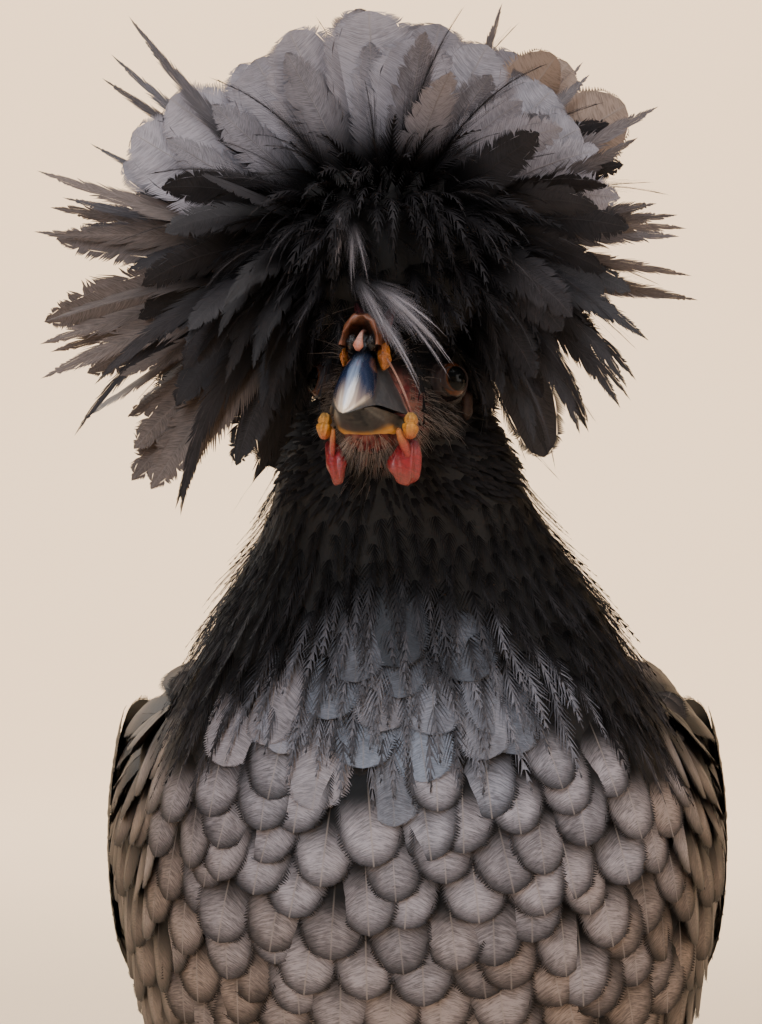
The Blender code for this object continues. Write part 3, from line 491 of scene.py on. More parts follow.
def horn_finish(name, colours):
    """Horn: a glossy nail, navy at its root and pale at its tip, with a painted blue-white reflection streak
    down the middle of its upper part and matte dark sides.
    """
    finish = Finish(name, Specular_IOR_Level=0.6, Coat_Roughness=0.05)
    navy, buff, painted_reflection_blue, cream = (0.012, 0.020, 0.050), (0.36, 0.25, 0.20), (0.34, 0.42, 0.58), (0.66, 0.53, 0.40)
    _, along, _ = finish.split(finish.uv("Surface"))
    middle = finish.attribute("nail", "Fac")
    nail = finish.band(middle, 0.0, 0.10)
    place = finish.place()
    across = tuple(HEAD.to_3x3() @ Vector((1, 0, 0)))
    aside = finish.node("ShaderNodeVectorMath", {"operation": "DOT_PRODUCT"}, [place, across], 1)
    streak = finish.noise(finish.join(aside * 1100, along * 1.4, 0.0), 1.0, 2.0, 0.5)
    flecks = finish.noise(place, 1100.0, 2.0)
    run = along + 0.10 * (streak - 0.5)
    top = finish.mix(finish.band(run, 0.20, 0.60), colours.horn_dark, navy)
    low = finish.mix(finish.band(streak, 0.30, 0.70), buff, colours.horn_pale)
    on_nail = finish.mix(finish.band(run, 0.52, 0.86), top, low)
    # Painted reflection: a blue-white streak down the middle of the nail stands for a bright window reflected
    # in it.
    painted_reflection_streak = finish.band(middle, 0.88, 1.0) * finish.band(run, 0.25, 0.6)
    painted_reflection_streak = painted_reflection_streak * finish.band(streak, 0.3, 0.6, 0.4)
    on_nail = finish.mix(painted_reflection_streak * 0.55, on_nail, painted_reflection_blue)
    border = finish.band(middle, 0.22, 0.06) * finish.band(run, 0.5, 0.7)
    on_nail = finish.mix((finish.band(run, 0.86, 0.98) + border * 0.7).clamped(), on_nail, cream)
    side = finish.mix(finish.band(flecks, 0.35, 0.7), (0.022, 0.022, 0.026), (0.048, 0.048, 0.052))
    side = finish.mix(finish.band(along + 0.05 * flecks, 0.07, 0.0), side, colours.skin_pink)
    return finish.set(
        Base_Color=finish.mix(nail, side, on_nail),
        Roughness=0.42 - 0.26 * nail + 0.1 * flecks,
        Coat_Weight=nail * 0.8 + 0.2,
        Normal=finish.bump(streak, 0.10, 0.04 * MM),
    )


def lower_horn_finish(colours):
    """Grey horn at the mouth's edge, yellow-orange along its lower side."""
    finish = Finish("lower horn", Specular_IOR_Level=0.3, Coat_Weight=0.1, Coat_Roughness=0.2)
    around, along, _ = finish.split(finish.uv("Surface"))
    place = finish.place()
    flecks = finish.noise(place, 900.0, 3.0)
    low = abs(around - 0.385)
    grey = finish.mix(finish.band(flecks, 0.3, 0.7), (0.016, 0.016, 0.018), (0.045, 0.042, 0.040))
    yellow = finish.mix(finish.band(flecks, 0.35, 0.75), colours.gape_yellow, (0.70, 0.42, 0.16))
    rim = finish.band(along + 0.1 * flecks, 0.46, 0.16) * finish.band(low + 0.05 * flecks, 0.33, 0.24)
    return finish.set(
        Base_Color=finish.mix(rim, grey, yellow),
        Roughness=0.32 + 0.2 * flecks,
        Normal=finish.bump(flecks, 0.2, 0.1 * MM),
    )


def eye_finish(colours):
    """A dark pupil, a rayed iris and a black rim, by the share of the way round the ball."""
    finish = Finish("eye", Specular_IOR_Level=0.15, Coat_Weight=0.04, Coat_Roughness=0.05, IOR=1.4)
    around, along, _ = finish.split(finish.uv("Surface"))
    rays = finish.noise(finish.join(around * 40, along * 4, 0.0), 1.0, 3.0)
    iris = finish.mix(finish.band(rays, 0.3, 0.7), colours.iris, (0.05, 0.014, 0.005))
    ring = finish.mix(finish.band(along, 0.26, 0.30), iris, (0.006, 0.004, 0.004))
    base = finish.mix(finish.band(along, 0.185, 0.20), (0.002, 0.002, 0.002), ring)
    return finish.set(Base_Color=base, Roughness=0.12 + 0.1 * rays)


def scale_finish(colours):
    """Slate scales with paler joints, netted at the sides."""
    finish = Finish("slate scales", Specular_IOR_Level=0.45, Coat_Weight=0.15, Coat_Roughness=0.3)
    place = finish.place()
    net = finish.node(
        "ShaderNodeTexVoronoi", {"feature": "DISTANCE_TO_EDGE"}, {"Vector": place, "Scale": 330.0}
    )
    joint = finish.band(net, 0.10, 0.0) * (1 - finish.attribute("nail", "Fac"))
    dust = finish.noise(place, 700.0, 4.0)
    slate = finish.mix(finish.band(dust, 0.3, 0.75), colours.scale_slate, (0.13, 0.135, 0.14))
    return finish.set(
        Base_Color=finish.mix(joint, slate, (0.03, 0.03, 0.034)),
        Roughness=0.45 + 0.25 * dust,
        Normal=finish.bump(net * 2 + dust * 0.3, 0.5, 0.3 * MM),
    )


def plain_horn(name, dark, pale):
    """Claws: dark and slightly streaked, with a shine."""
    finish = Finish(name, Specular_IOR_Level=0.5, Coat_Weight=0.5, Coat_Roughness=0.15)
    _, along, _ = finish.split(finish.uv("Surface"))
    streak = finish.noise(finish.place(), 1200.0, 3.0)
    return finish.set(
        Base_Color=finish.mix((along * 0.6 + 0.3 * streak).clamped(), dark, pale),
        Roughness=0.28 + 0.2 * streak,
        Normal=finish.bump(streak, 0.15, 0.08 * MM),
    )


def stage_finish(colours):
    finish = Finish("pale backdrop", Specular_IOR_Level=0.1)
    mottle = finish.noise(finish.place(), 3.0, 3.0)
    lighter = [min(1.0, c * 1.06) for c in colours.wall]
    wall = finish.mix(mottle, colours.wall, lighter)
    return finish.set(Base_Color=wall, Roughness=0.9 + 0.05 * mottle)


# ------------------------------------------------------------------------------------------ shapes


def mirrored(vector, side):
    """A place on the bird's left, or the same place on its right."""
    return Vector((vector[0] * side, vector[1], vector[2]))


def plan(vector):
    """A place of the tables, in metres and over the origin."""
    return Vector(vector) * MM + SHIFT


def square_to(vector, way):
    """What of a vector is square to a way, at length one."""
    return (vector - way * vector.dot(way)).normalized()


def stray(draw, most, size=3):
    """A vector of random draws, each up to most either way."""
    return Vector([draw.uniform(-most, most) for _ in range(size)])


def lay_grid(bm, rows, closed=True, marks=None, caps=True):
    """A grid laid over rows of points, mapped by its shares around and along, and closed at both ends."""
    cols, lines = len(rows[0]) + (1 if closed else 0), len(rows)
    surface = bm.loops.layers.uv.get("Surface") or bm.loops.layers.uv.new("Surface")
    mark = bm.verts.layers.float.get("nail") or bm.verts.layers.float.new("nail")
    made = bmesh.ops.create_grid(bm, x_segments=cols - 1, y_segments=lines - 1, size=1.0)["verts"]
    spot = {}
    for index, vert in enumerate(made):
        line, col = divmod(index, cols)
        vert.co = rows[line][col % len(rows[0])]
        vert[mark] = marks[line][col % len(rows[0])] if marks else 0.0
        spot[vert] = (col / (cols - 1), line / (lines - 1))
    for face in {face for vert in made for face in vert.link_faces}:
        for loop in face.loops:
            loop[surface].uv = spot[loop.vert]
    bmesh.ops.remove_doubles(bm, verts=made, dist=1e-7)
    alive = [vert for vert in made if vert.is_valid]
    edges = [edge for edge in {e for v in alive for e in v.link_edges} if edge.is_boundary]
    if closed and caps and edges:
        lids = bmesh.ops.holes_fill(bm, edges=edges)["faces"]
        for face in lids:
            for loop in face.loops:
                loop[surface].uv = spot.get(loop.vert, (0.5, 0.0))
        bmesh.ops.triangulate(bm, faces=lids)
    bmesh.ops.recalc_face_normals(bm, faces=list({f for v in alive if v.is_valid for f in v.link_faces}))


def tube_rows(path, radii, around=12, flat=1.0, up=Vector((0, 0, 1))):
    """Rings round a path. A radius may differ along it, and flat narrows it square to the way up."""
    rows = []
    for k, point in enumerate(path):
        way = (path[min(k + 1, len(path) - 1)] - path[max(k - 1, 0)]).normalized()
        across = way.cross(up).normalized()
        other = across.cross(way)
        turns = [2 * pi * j / around for j in range(around)]
        rows.append([point + (across * cos(a) * flat + other * sin(a)) * radii[k] for a in turns])
    return rows


def between(a, b, c, d, t):
    """A point at t on the smooth curve from b to c, which a comes before and d follows."""
    return 0.5 * (2 * b + (c - a) * t + (2 * a - 5 * b + 4 * c - d) * t * t + (3 * b - a - 3 * c + d) * t**3)


def smooth_path(points, steps=6, kind=Vector):
    """A curve through points, with steps between each two."""
    made, last = [], len(points) - 1
    for k in range(last):
        four = [kind(points[min(max(k + j, 0), last)]) for j in (-1, 0, 1, 2)]
        made += [between(*four, step / steps) for step in range(steps)]
    return [*made, kind(points[-1])]


def taper(values, total):
    """Values spread evenly over a number of places."""
    return list(np.interp(np.linspace(0, 1, total), np.linspace(0, 1, len(values)), values))


def ball_rows(at, radii, axis=Vector((0, 0, 1)), lines=20, around=28, shape=None):
    """Rings of an egg shape about an axis, with a shape(around, along) that scales each point."""
    turn = axis.normalized().to_track_quat("Z", "Y").to_matrix()
    rows = []
    for j in range(lines + 1):
        polar = pi * j / lines
        rows.append([])
        for k in range(around):
            angle = 2 * pi * k / around
            out = Vector((sin(polar) * cos(angle), sin(polar) * sin(angle), cos(polar)))
            scale = shape(k / around, j / lines) if shape else 1.0
            out = turn @ out * scale
            rows[-1].append(Vector(at) + Vector([o * r for o, r in zip(out, radii)]))
    return rows


def as_mesh(name, bm):
    """A mesh of a bmesh, which is then freed."""
    mesh = bpy.data.meshes.new(name)
    bm.to_mesh(mesh)
    bm.free()
    return mesh


def dressed(name, mesh, material, replaced=()):
    """Makes a finished piece of a mesh, in the frame, riding on the bird."""
    obj = bpy.data.objects.new(name, mesh)
    bpy.context.scene.collection.objects.link(obj)
    mesh.materials.append(material)
    mesh.shade_smooth()
    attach(obj, "root")
    if replaced:
        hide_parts(*replaced)
    return obj


def on_head(bm):
    """Millimetres in the head's own frame become metres in the bird's."""
    bm.transform(HEAD @ Matrix.Scale(MM, 4))
    return bm


def head_piece(name, grids, material, slot, replaced=(), **how):
    """Makes a finished piece of grids of points in the head's own frame."""
    bm = bmesh.new()
    for rows in grids:
        lay_grid(bm, rows, **how)
    return dressed(name, as_mesh(name, on_head(bm)), material, replaced)


# -------------------------------------------------------------------------------------------- body


def body_curve(where, turn):
    """Points of the body's surface, for arrays of station and of turn round the section."""
    rows = np.array([(*belly, *back, width, shift) for belly, back, width, shift in BODY_STATIONS], float)
    index = np.clip(where.astype(int), 0, len(rows) - 2)
    t = (where - index)[:, None]
    a, b, c, d = (rows[np.clip(index + k, 0, len(rows) - 1)] for k in (-1, 0, 1, 2))
    at = between(a, b, c, d, t)
    across, down = np.sin(turn), np.cos(turn)
    full = np.sign(across) * np.abs(across) ** BELLY_SQUARENESS
    middle, half = (at[:, 0:2] + at[:, 2:4]) / 2, (at[:, 0:2] - at[:, 2:4]) / 2
    y, z = (middle + half * down[:, None]).T
    return np.stack([at[:, 5] + full * at[:, 4], y, z], 1) * MM + np.array(SHIFT)


class BodyMap:
    """Where a place is on the body's surface, and which way its feathers lie."""

    def __init__(self, lines=121, around=64):
        where = np.repeat(np.linspace(0.02, 11.98, lines), around)
        turn = np.tile(np.arange(around) * 2 * pi / around, lines)
        self.points = body_curve(where, turn)
        self.flow = body_curve(where - 0.02, turn) - body_curve(where + 0.02, turn)
        self.where, self.turn = where, turn
        self.tree = KDTree(len(where))
        for index, point in enumerate(self.points):
            self.tree.insert(point, index)
        self.tree.balance()

    def at(self, point):
        _, index, away = self.tree.find(point)
        return self.where[index], self.turn[index], Vector(self.flow[index]).normalized(), away


class Ground:
    """The finished skin: nearest places on it, even scatters over it, and its unwrap."""

    def __init__(self, obj):
        mesh = obj.data
        self.co = np.array([v.co for v in mesh.vertices])
        self.faces = [tuple(p.vertices) for p in mesh.polygons]
        self.tree = BVHTree.FromPolygons([Vector(c) for c in self.co], self.faces)
        layer = mesh.uv_layers["OFBake"].data
        uv = np.zeros(len(layer) * 2)
        layer.foreach_get("uv", uv)
        uv = uv.reshape(-1, 2)
        loops = [(p.loop_start, p.loop_start + p.loop_total) for p in mesh.polygons]
        self.spots = np.array([uv[first:last].mean(0) for first, last in loops])
        self.centres = np.array([self.co[list(f)].mean(0) for f in self.faces])
        self.areas = np.array([p.area for p in mesh.polygons])

    def near(self, point):
        place, normal, index, _ = self.tree.find_nearest(point)
        return place, normal, index

    def scatter(self, spacing, wanted, seed, relax=6):
        """Even places on the skin where wanted(centre) holds, relaxed to a regular spread."""
        draw = np.random.default_rng(seed)
        keep = np.array([wanted(centre) for centre in self.centres])
        weights = self.areas * keep
        total = weights.sum()
        target = int(total / (0.80 * spacing * spacing))
        picks = draw.choice(len(weights), target * 14, p=weights / total)
        chosen, cells = [], {}
        for pick in picks:
            corners = self.co[list(self.faces[pick])]
            share = draw.dirichlet(np.ones(len(corners)))
            point = share @ corners
            cell = tuple((point // spacing).astype(int))
            around = [
                other
                for i in (-1, 0, 1) for j in (-1, 0, 1) for k in (-1, 0, 1)
                for other in cells.get((cell[0] + i, cell[1] + j, cell[2] + k), ())
            ]
            if all(((point - other) ** 2).sum() > (0.82 * spacing) ** 2 for other in around):
                cells.setdefault(cell, []).append(point)
                chosen.append(point)
        points = np.array(chosen)
        for _ in range(relax):
            tree = KDTree(len(points))
            for index, point in enumerate(points):
                tree.insert(point, index)
            tree.balance()
            moved = []
            for index, point in enumerate(points):
                push = np.zeros(3)
                for other, number, away in tree.find_n(point, 7):
                    if number != index and away < 1.25 * spacing:
                        push += (point - np.array(other)) / max(away, 1e-6) * (1.25 * spacing - away)
                place, _, index = self.near(Vector(point + push * 0.22))
                moved.append(place if wanted(self.centres[index]) else point)
            points = np.array(moved)
        return [self.near(Vector(point)) for point in points]


def rough_shapes():
    """The overlapping closed shapes that the skin is drawn over."""
    bm = bmesh.new()
    around, stations = 40, np.linspace(0, 11.999, 49)
    turn = np.arange(around) * 2 * pi / around
    lay_grid(bm, [[Vector(p) for p in body_curve(np.full(around, where), turn)] for where in stations])
    head = bmesh.new()
    for at, radii in (((0, 0, 0), SKULL), (FACE_AT, FACE), (CHIN_AT, CHIN)):
        lay_grid(head, ball_rows(at, radii))
    bm.from_mesh(as_mesh("skin", on_head(head)))
    turned = Matrix.Rotation(WING_TILT, 3, "X")
    for side in SIDES.values():
        wing = ball_rows((0, 0, 0), WING * MM * 0.97)
        lay_grid(bm, [[turned @ p + plan(mirrored(WING_AT, side)) for p in row] for row in wing])
        lay_grid(bm, ball_rows(plan(mirrored(SHOULDER_AT, side)), SHOULDER * MM))
        hip, hock = plan(mirrored(HIP_AT, side)), plan(mirrored(HOCK_AT, side))
        path = [hip.lerp(hock, t) for t in np.linspace(-0.1, 0.97, 14)]
        radii = np.array(taper(THIGH_RADII, len(path))) * MM
        lay_grid(bm, tube_rows(path, radii, 24, 0.85, Vector((0, 1, 0))))
    tilt = Matrix.Rotation(TAIL_CORE_TILT, 3, "X")
    tail = ball_rows((0, 0, 0), Vector(TAIL_CORE) * MM, lines=16, around=24)
    lay_grid(bm, [[tilt @ p + plan(TAIL_AT) for p in row] for row in tail])
    lay_grid(bm, ball_rows(plan(CREST_AT), CREST_CORE * MM * 0.92))
    return bm


def make_skin(colours, sizes):
    """One skin for torso, neck, head, thighs, wings, tail and crest, inside the plumage by its depth."""
    rough = bpy.data.objects.new("skin_rough", as_mesh("skin", rough_shapes()))
    bpy.context.scene.collection.objects.link(rough)
    whole = rough.modifiers.new("Whole", "REMESH")
    whole.mode, whole.voxel_size = "VOXEL", 2.0 * MM
    bpy.context.view_layer.update()
    mesh = bpy.data.meshes.new_from_object(rough.evaluated_get(bpy.context.evaluated_depsgraph_get()))
    bpy.data.objects.remove(rough)
    bm = bmesh.new()
    bm.from_mesh(mesh)
    smooth = {"verts": bm.verts, "factor": 0.5, "use_axis_x": True, "use_axis_y": True, "use_axis_z": True}
    for _ in range(4):
        bmesh.ops.smooth_vert(bm, **smooth)
    bm.normal_update()
    face = HEAD @ Vector((0, -0.010, 0))
    bare_depth, bare_reach = 0.8 * MM, 22 * MM
    depths = []
    for vert in bm.verts:
        away = (vert.co - face).length
        share = min(1.0, max(0.0, (away - bare_reach) / bare_reach))
        depths.append((vert, vert.normal * (bare_depth + (sizes.coat_depth - bare_depth) * share)))
    for vert, inward in depths:
        vert.co -= inward
    bmesh.ops.smooth_vert(bm, **smooth)
    bm.to_mesh(mesh)
    bm.free()
    names = ("torso", "neck", "head", "thigh_left", "thigh_right")
    skin = dressed("skin", mesh, skin_finish(colours), names)
    unwrap(skin)
    return skin


def unwrap(obj):
    """Unwraps a piece's own shape into its OFBake map."""
    obj.data.uv_layers.new(name="OFBake")
    bpy.context.view_layer.objects.active = obj
    obj.select_set(True)
    bpy.ops.object.mode_set(mode="EDIT")
    bpy.ops.mesh.select_all(action="SELECT")
    bpy.ops.uv.smart_project(angle_limit=radians(66), island_margin=0.002)
    bpy.ops.object.mode_set(mode="OBJECT")
    obj.select_set(False)


# ---------------------------------------------------------------------------------------- feathers


class Template:
    """One feather of unit size: x across in half widths, y along from 0 to 1, z up in half widths. Each
    side of the vane is whole near the shaft, up to the share whole, and parts further out into barbs, which
    gather in groups. A barb narrows to the share end of its width at the root."""

    def __init__(self, seed, barbs, outline, reach, fray, gather, camber, sweep=1.25, whole=0.0, end=0.12):
        self.draw = random.Random(seed)
        self.verts, self.quads, self.vane, self.barb = [], [], [], []
        self.sweep, self.camber = sweep, camber
        base = np.linspace(0.02, 1, 300)
        tip = base + reach * (1 - base) ** 0.9 * (0.35 + 0.65 * np.minimum(1, base / 0.5))
        half = np.interp(tip, *OUTLINES[outline])
        run = np.concatenate([[0], np.cumsum(np.hypot(np.diff(half), np.diff(tip) * 2.4))])
        even = np.linspace(0, run[-1], barbs + 1)
        self.edges = np.stack([np.interp(even, run, row) for row in (half, tip, base)], 1)
        steps = (whole, 0.5 + whole / 2, 1.0) if whole > 0.4 else (whole, 0.45, 0.8, 1.0)
        blunt = (0.8, 1.0), (0.95, end)
        thin = (max(whole, 0.4), 1.0), (1.0 if whole > 0.4 else end * 4, end)
        widths = np.interp(steps, *(thin if end < 0.1 else blunt))
        widths[0] = 1.0
        for side in (-1, 1):
            if whole:
                self.add_vane(side, barbs, whole)
            k = 0
            while k < barbs:
                group = min(self.draw.randint(3, 3 + barbs // 6), barbs - k)
                middle = self.edges[k + group // 2]
                pull, rise = self.draw.uniform(0, gather), self.draw.uniform(-0.04, 0.04)
                short = self.draw.uniform(0, fray * 0.6)
                for j in range(group):
                    far = 1 - short - self.draw.uniform(0, fray)
                    self.add_barb(side, k + j, middle, pull, rise, far, steps, widths, 0.5 / barbs)
                k += group
        self.add_shaft()
        self.co = np.array(self.verts)
        self.faces = np.array(self.quads)
        self.vane, self.barb = np.array(self.vane), np.array(self.barb)

    def on_barb(self, edge, side, far):
        half, tip, base = edge
        return np.array((side * half * far, base + (tip - base) * far**self.sweep))

    def add_point(self, x, y, z, reach, number, side):
        self.verts.append((x, y, z - self.camber * x * x))
        self.vane.append((0.5 + 0.5 * x, y))
        self.barb.append((reach * 2, number + (500 if side > 0 else 0)))

    def add_vane(self, side, barbs, whole, lines=12):
        first = len(self.verts)
        shares = [round(barbs * k / lines) for k in range(lines + 1)]
        reaches = (0.0, whole / 2, whole)
        for k in shares:
            for reach in reaches:
                x, y = self.on_barb(self.edges[k], side, reach)
                self.add_point(x, y, 0.0, reach, k, side)
        for row in range(lines):
            for col in range(2):
                a = first + 3 * row + col
                self.quads.append((a, a + 1, a + 4, a + 3) if side > 0 else (a + 1, a, a + 3, a + 4))

    def add_barb(self, side, k, middle, pull, rise, whole, steps, widths, lean):
        first = len(self.verts)
        lean *= self.draw.uniform(-1, 1)
        for reach, narrow in zip(steps, widths):
            out = (reach - steps[0]) / (1 - steps[0])
            far = reach * (1 - (1 - whole) * out)
            ends = [self.on_barb(self.edges[k + e], side, far) for e in (0, 1)]
            centre = (ends[0] + ends[1]) / 2
            shift = (self.on_barb(middle, side, far) - centre) * pull * out**1.5
            for e, spot in enumerate(ends):
                x, y = centre + (spot - centre) * narrow + shift
                self.add_point(x, y, rise * out + (e - 0.5) * lean * out, reach, k + e, side)
        for row in range(len(steps) - 1):
            a = first + 2 * row
            self.quads.append((a, a + 1, a + 3, a + 2) if side < 0 else (a + 1, a, a + 2, a + 3))

    def add_shaft(self, rows=6):
        first = len(self.verts)
        for j in range(rows):
            y = j / (rows - 1) * 0.97
            wide, high = 0.026 * (1 - 0.75 * y), 0.03 * (1 - 0.8 * y)
            for x, z in ((-wide, 0.0), (0.0, high), (wide, 0.0)):
                self.verts.append((x, y, z))
                self.vane.append((0.5 + 0.2 * x, y))
                self.barb.append((0.0, 900 + y))
        for j in range(rows - 1):
            a = first + 3 * j
            self.quads += [(a, a + 1, a + 4, a + 3), (a + 1, a + 2, a + 5, a + 4)]


class Hair:
    """One bristle: three-sided and tapered, in the same unit frame as a feather."""

    def __init__(self):
        turns = [2 * pi * k / 3 for k in range(3)]
        rows = [(0.0, 1.0), (0.5, 0.7), (1.0, 0.12)]
        self.co = np.array([(cos(a) * r, y, sin(a) * r) for y, r in rows for a in turns])
        ring = np.array([(k, (k + 1) % 3, 3 + (k + 1) % 3, 3 + k) for k in range(3)])
        self.faces = np.concatenate([ring, ring + 3])
        self.vane = np.array([(0.5, y) for y, _ in rows for _ in turns])
        self.barb = np.zeros((9, 2))


def templates():
    """All the templates, each name with a few that differ: how many, barbs on a side, outline and the rest."""
    plan_of = {
        "scale": (6, 48, "scale", dict(reach=0.40, fray=0.06, gather=0.25, camber=0.14, whole=0.80)),
        "neck": (5, 13, "lance", dict(reach=0.50, fray=0.20, gather=0.5, camber=0.12, end=0.09)),
        "tiny": (3, 6, "lance", dict(reach=0.45, fray=0.2, gather=0.5, camber=0.1)),
        "broad": (4, 60, "broad", dict(reach=0.32, fray=0.04, gather=0.25, camber=0.16, whole=0.85)),
        "fan": (7, 110, "fan", dict(reach=0.44, fray=0.09, gather=0.50, camber=0.08, whole=0.70)),
        "long": (7, 80, "long", dict(reach=0.34, fray=0.18, gather=0.7, camber=0.12, whole=0.50)),
        "lance": (7, 50, "lance", dict(reach=0.40, fray=0.22, gather=0.6, camber=0.10, whole=0.42)),
        "plume": (5, 56, "lance", dict(reach=0.8, fray=0.4, gather=0.8, camber=0.03, sweep=1.5, end=0.07)),
    }
    made = {
        name: [Template(7 * k + len(name), barbs, outline, **how) for k in range(number)]
        for name, (number, barbs, outline, how) in plan_of.items()
    }
    made["hair"] = [Hair()]
    return made


class Coat:
    """Feathers that wait to be grown into one mesh."""

    def __init__(self, kinds, ground, seed):
        self.kinds, self.ground, self.draw, self.rows = kinds, ground, random.Random(seed), []

    def add(self, kind, root, way, side, bend, face, length, half, look, twist=0.0):
        """A feather that leaves its root along a way and bends towards a side as an arc."""
        which = self.draw.randrange(len(self.kinds[kind]))
        bend = bend if abs(bend) > 1e-3 else 1e-3
        shape = (length, half, bend, twist, *look, self.draw.random())
        self.rows.append(((kind, which), (*root, *way, *side, *face, *shape)))

    def lay(self, kind, root, root_normal, tip, tip_normal, sink, rise, half, look, twist=0.0):
        """A feather that lies along a surface from root to tip, and stands off it by rise at its tip."""
        start, end = root - root_normal * sink, tip + tip_normal * rise
        chord = end - start
        along = chord.normalized()
        up = square_to(root_normal + tip_normal, along)
        bend = root_normal.angle(tip_normal, 0.0)
        bend = bend if (tip_normal - root_normal).dot(along) > 0 else -bend
        way = along * cos(bend / 2) + up * sin(bend / 2)
        side = along * sin(bend / 2) - up * cos(bend / 2)
        length = chord.length * (bend / 2 / sin(bend / 2) if abs(bend) > 1e-3 else 1.0)
        self.add(kind, start, way, side, bend, up, length, half, look, twist)

    def follow(self, kind, place, normal, reach, sink, rise, half, look, twist=0.0):
        """A feather that lies along the skin, from a place to where it reaches."""
        tip, tip_normal, _ = self.ground.near(place + reach)
        self.lay(kind, place, normal, tip, tip_normal, sink, rise, half, look, twist)

    def grow(self, name, material, replaced=(), push=None, bare=()):
        """Makes one mesh of all the feathers that wait, but for those that would cross a bare ball."""
        parts = {key: [] for key in ("co", "faces", "vane", "barb", "bake", "look")}
        start = 0
        for key in sorted({row[0] for row in self.rows}):
            kind = self.kinds[key[0]][key[1]]
            data = np.array([values for which, values in self.rows if which == key])
            root, way, side, face = (data[:, None, k : k + 3] for k in (0, 3, 6, 9))
            length, half, bend, twist = (data[:, k][:, None, None] for k in (12, 13, 14, 15))
            x, y, z = (kind.co[None, :, k, None] for k in range(3))
            angle = bend * y
            centre = root + (way * np.sin(angle) + side * (1 - np.cos(angle))) * length / bend
            heading = way * np.cos(angle) + side * np.sin(angle)
            across = np.cross(heading, face)
            across /= np.linalg.norm(across, axis=2, keepdims=True)
            up = np.cross(across, heading)
            turn = twist * y
            co = centre + across * half * (x * np.cos(turn) - z * np.sin(turn))
            co = co + up * half * (x * np.sin(turn) + z * np.cos(turn))
            for middle, radius in bare:
                keep = (((co - np.array(middle)) ** 2).sum(2) > radius**2).all(1)
                co, data = co[keep], data[keep]
            co = co.reshape(-1, 3)
            if push is not None:
                co = push(co)
            number, size_of = len(data), len(kind.co)
            spots = np.array([self.ground.spots[self.ground.near(Vector(r))[2]] for r in data[:, :3]])
            patch = np.stack([(kind.vane[:, 0] - 0.5) * 0.003, kind.vane[:, 1] * 0.003], 1)
            parts["co"].append(co)
            firsts = start + np.arange(number) * size_of
            parts["faces"].append((kind.faces[None] + firsts[:, None, None]).reshape(-1, 4))
            parts["vane"].append(np.tile(kind.vane, (number, 1)))
            parts["barb"].append(np.tile(kind.barb, (number, 1)))
            parts["bake"].append((spots[:, None] + patch[None]).reshape(-1, 2))
            parts["look"].append(np.repeat(data[:, 16:19], size_of, 0))
            start += number * size_of
        whole = {key: np.concatenate(value) for key, value in parts.items()}
        mesh = bpy.data.meshes.new(name)
        faces = whole["faces"].astype(np.int32)
        mesh.vertices.add(len(whole["co"]))
        mesh.vertices.foreach_set("co", whole["co"].astype(np.float32).ravel())
        mesh.loops.add(faces.size)
        mesh.loops.foreach_set("vertex_index", faces.ravel())
        mesh.polygons.add(len(faces))
        mesh.polygons.foreach_set("loop_start", np.arange(0, faces.size, 4, dtype=np.int32))
        mesh.update(calc_edges=True)
        for layer, key in (("OFBake", "bake"), ("Vane", "vane"), ("Barb", "barb")):
            uv = mesh.uv_layers.new(name=layer)
            uv.data.foreach_set("uv", whole[key][faces.ravel()].astype(np.float32).ravel())
        look = mesh.attributes.new("look", "FLOAT_VECTOR", "POINT")
        look.data.foreach_set("vector", whole["look"].astype(np.float32).ravel())
        return dressed(name, mesh, material, replaced)


WORK = {}


def workshop(context):
    """What the feather operators share: the skin, the body's map, the templates and the finishes."""
    if not WORK:
        colours = context.scene.hen_colours
        WORK["ground"] = Ground(bpy.data.objects["skin"])
        WORK["body"] = BodyMap()
        WORK["kinds"] = templates()
        WORK["plumage"] = plumage(colours)
        WORK["down"] = plumage(colours, "soft feathers", 0.42, 0.6, 0.3, 0.04, root=0.2)
        WORK["crest"] = plumage(colours, "crest feathers", 0.44, 0.4, 0.4, 0.12, 1.7, 0.2)
    return WORK["ground"], WORK["body"], WORK["kinds"]


def in_head_frame(point):
    return HEAD.inverted() @ Vector(point) / MM


def on_wing(point):
    """Whether a place is under the long feathers of a folded wing, below its upper edge."""
    for side in SIDES.values():
        local = Matrix.Rotation(-WING_TILT, 3, "X") @ (Vector(point) - plan(mirrored(WING_AT, side)))
        u, v = local.y / (WING.y * MM), local.z / (WING.z * MM)
        if local.x * side > -2 * MM and 0.1 < u and v < 0.42 and u**2 + v**2 < 0.9:
            return True
    return False


def in_crest(point):
    """Whether a place is on the crest's core, above the brow."""
    away = Vector([(p - c) / r for p, c, r in zip(Vector(point), plan(CREST_AT), CREST_CORE * MM)])
    return away.length < 1.06 and point[2] > plan((0, 0, CREST_FROM)).z


def region(work, point):
    """Names the part of the skin that a place is in."""
    _, body, _ = work
    local = in_head_frame(point)
    where, turn, _, away = body.at(Vector(point))
    if in_crest(point):
        return "crest"
    if local.length < 34 and where > 11.0 and point[2] > plan((0, 0, HEAD_FROM)).z:
        return "head"
    if on_wing(point):
        return "wing"
    if point[2] < plan((0, 0, THIGHS_TO)).z and away > 3 * MM:
        return "thigh"
    if where > 7.6 + 2.9 * max(0.0, cos(turn)) ** 1.5:
        return "neck"
    return "body"


def within(work, name):
    """A test of whether a place is in a part of the skin."""
    return lambda point: region(work, point) == name


class HEN_OT_skin(bpy.types.Operator):
    """Builds the one skin under all the plumage"""

    bl_idname = "hen.skin"
    bl_label = "Skin"

    def execute(self, context):
        make_skin(context.scene.hen_colours, context.scene.hen_sizes)
        return {"FINISHED"}


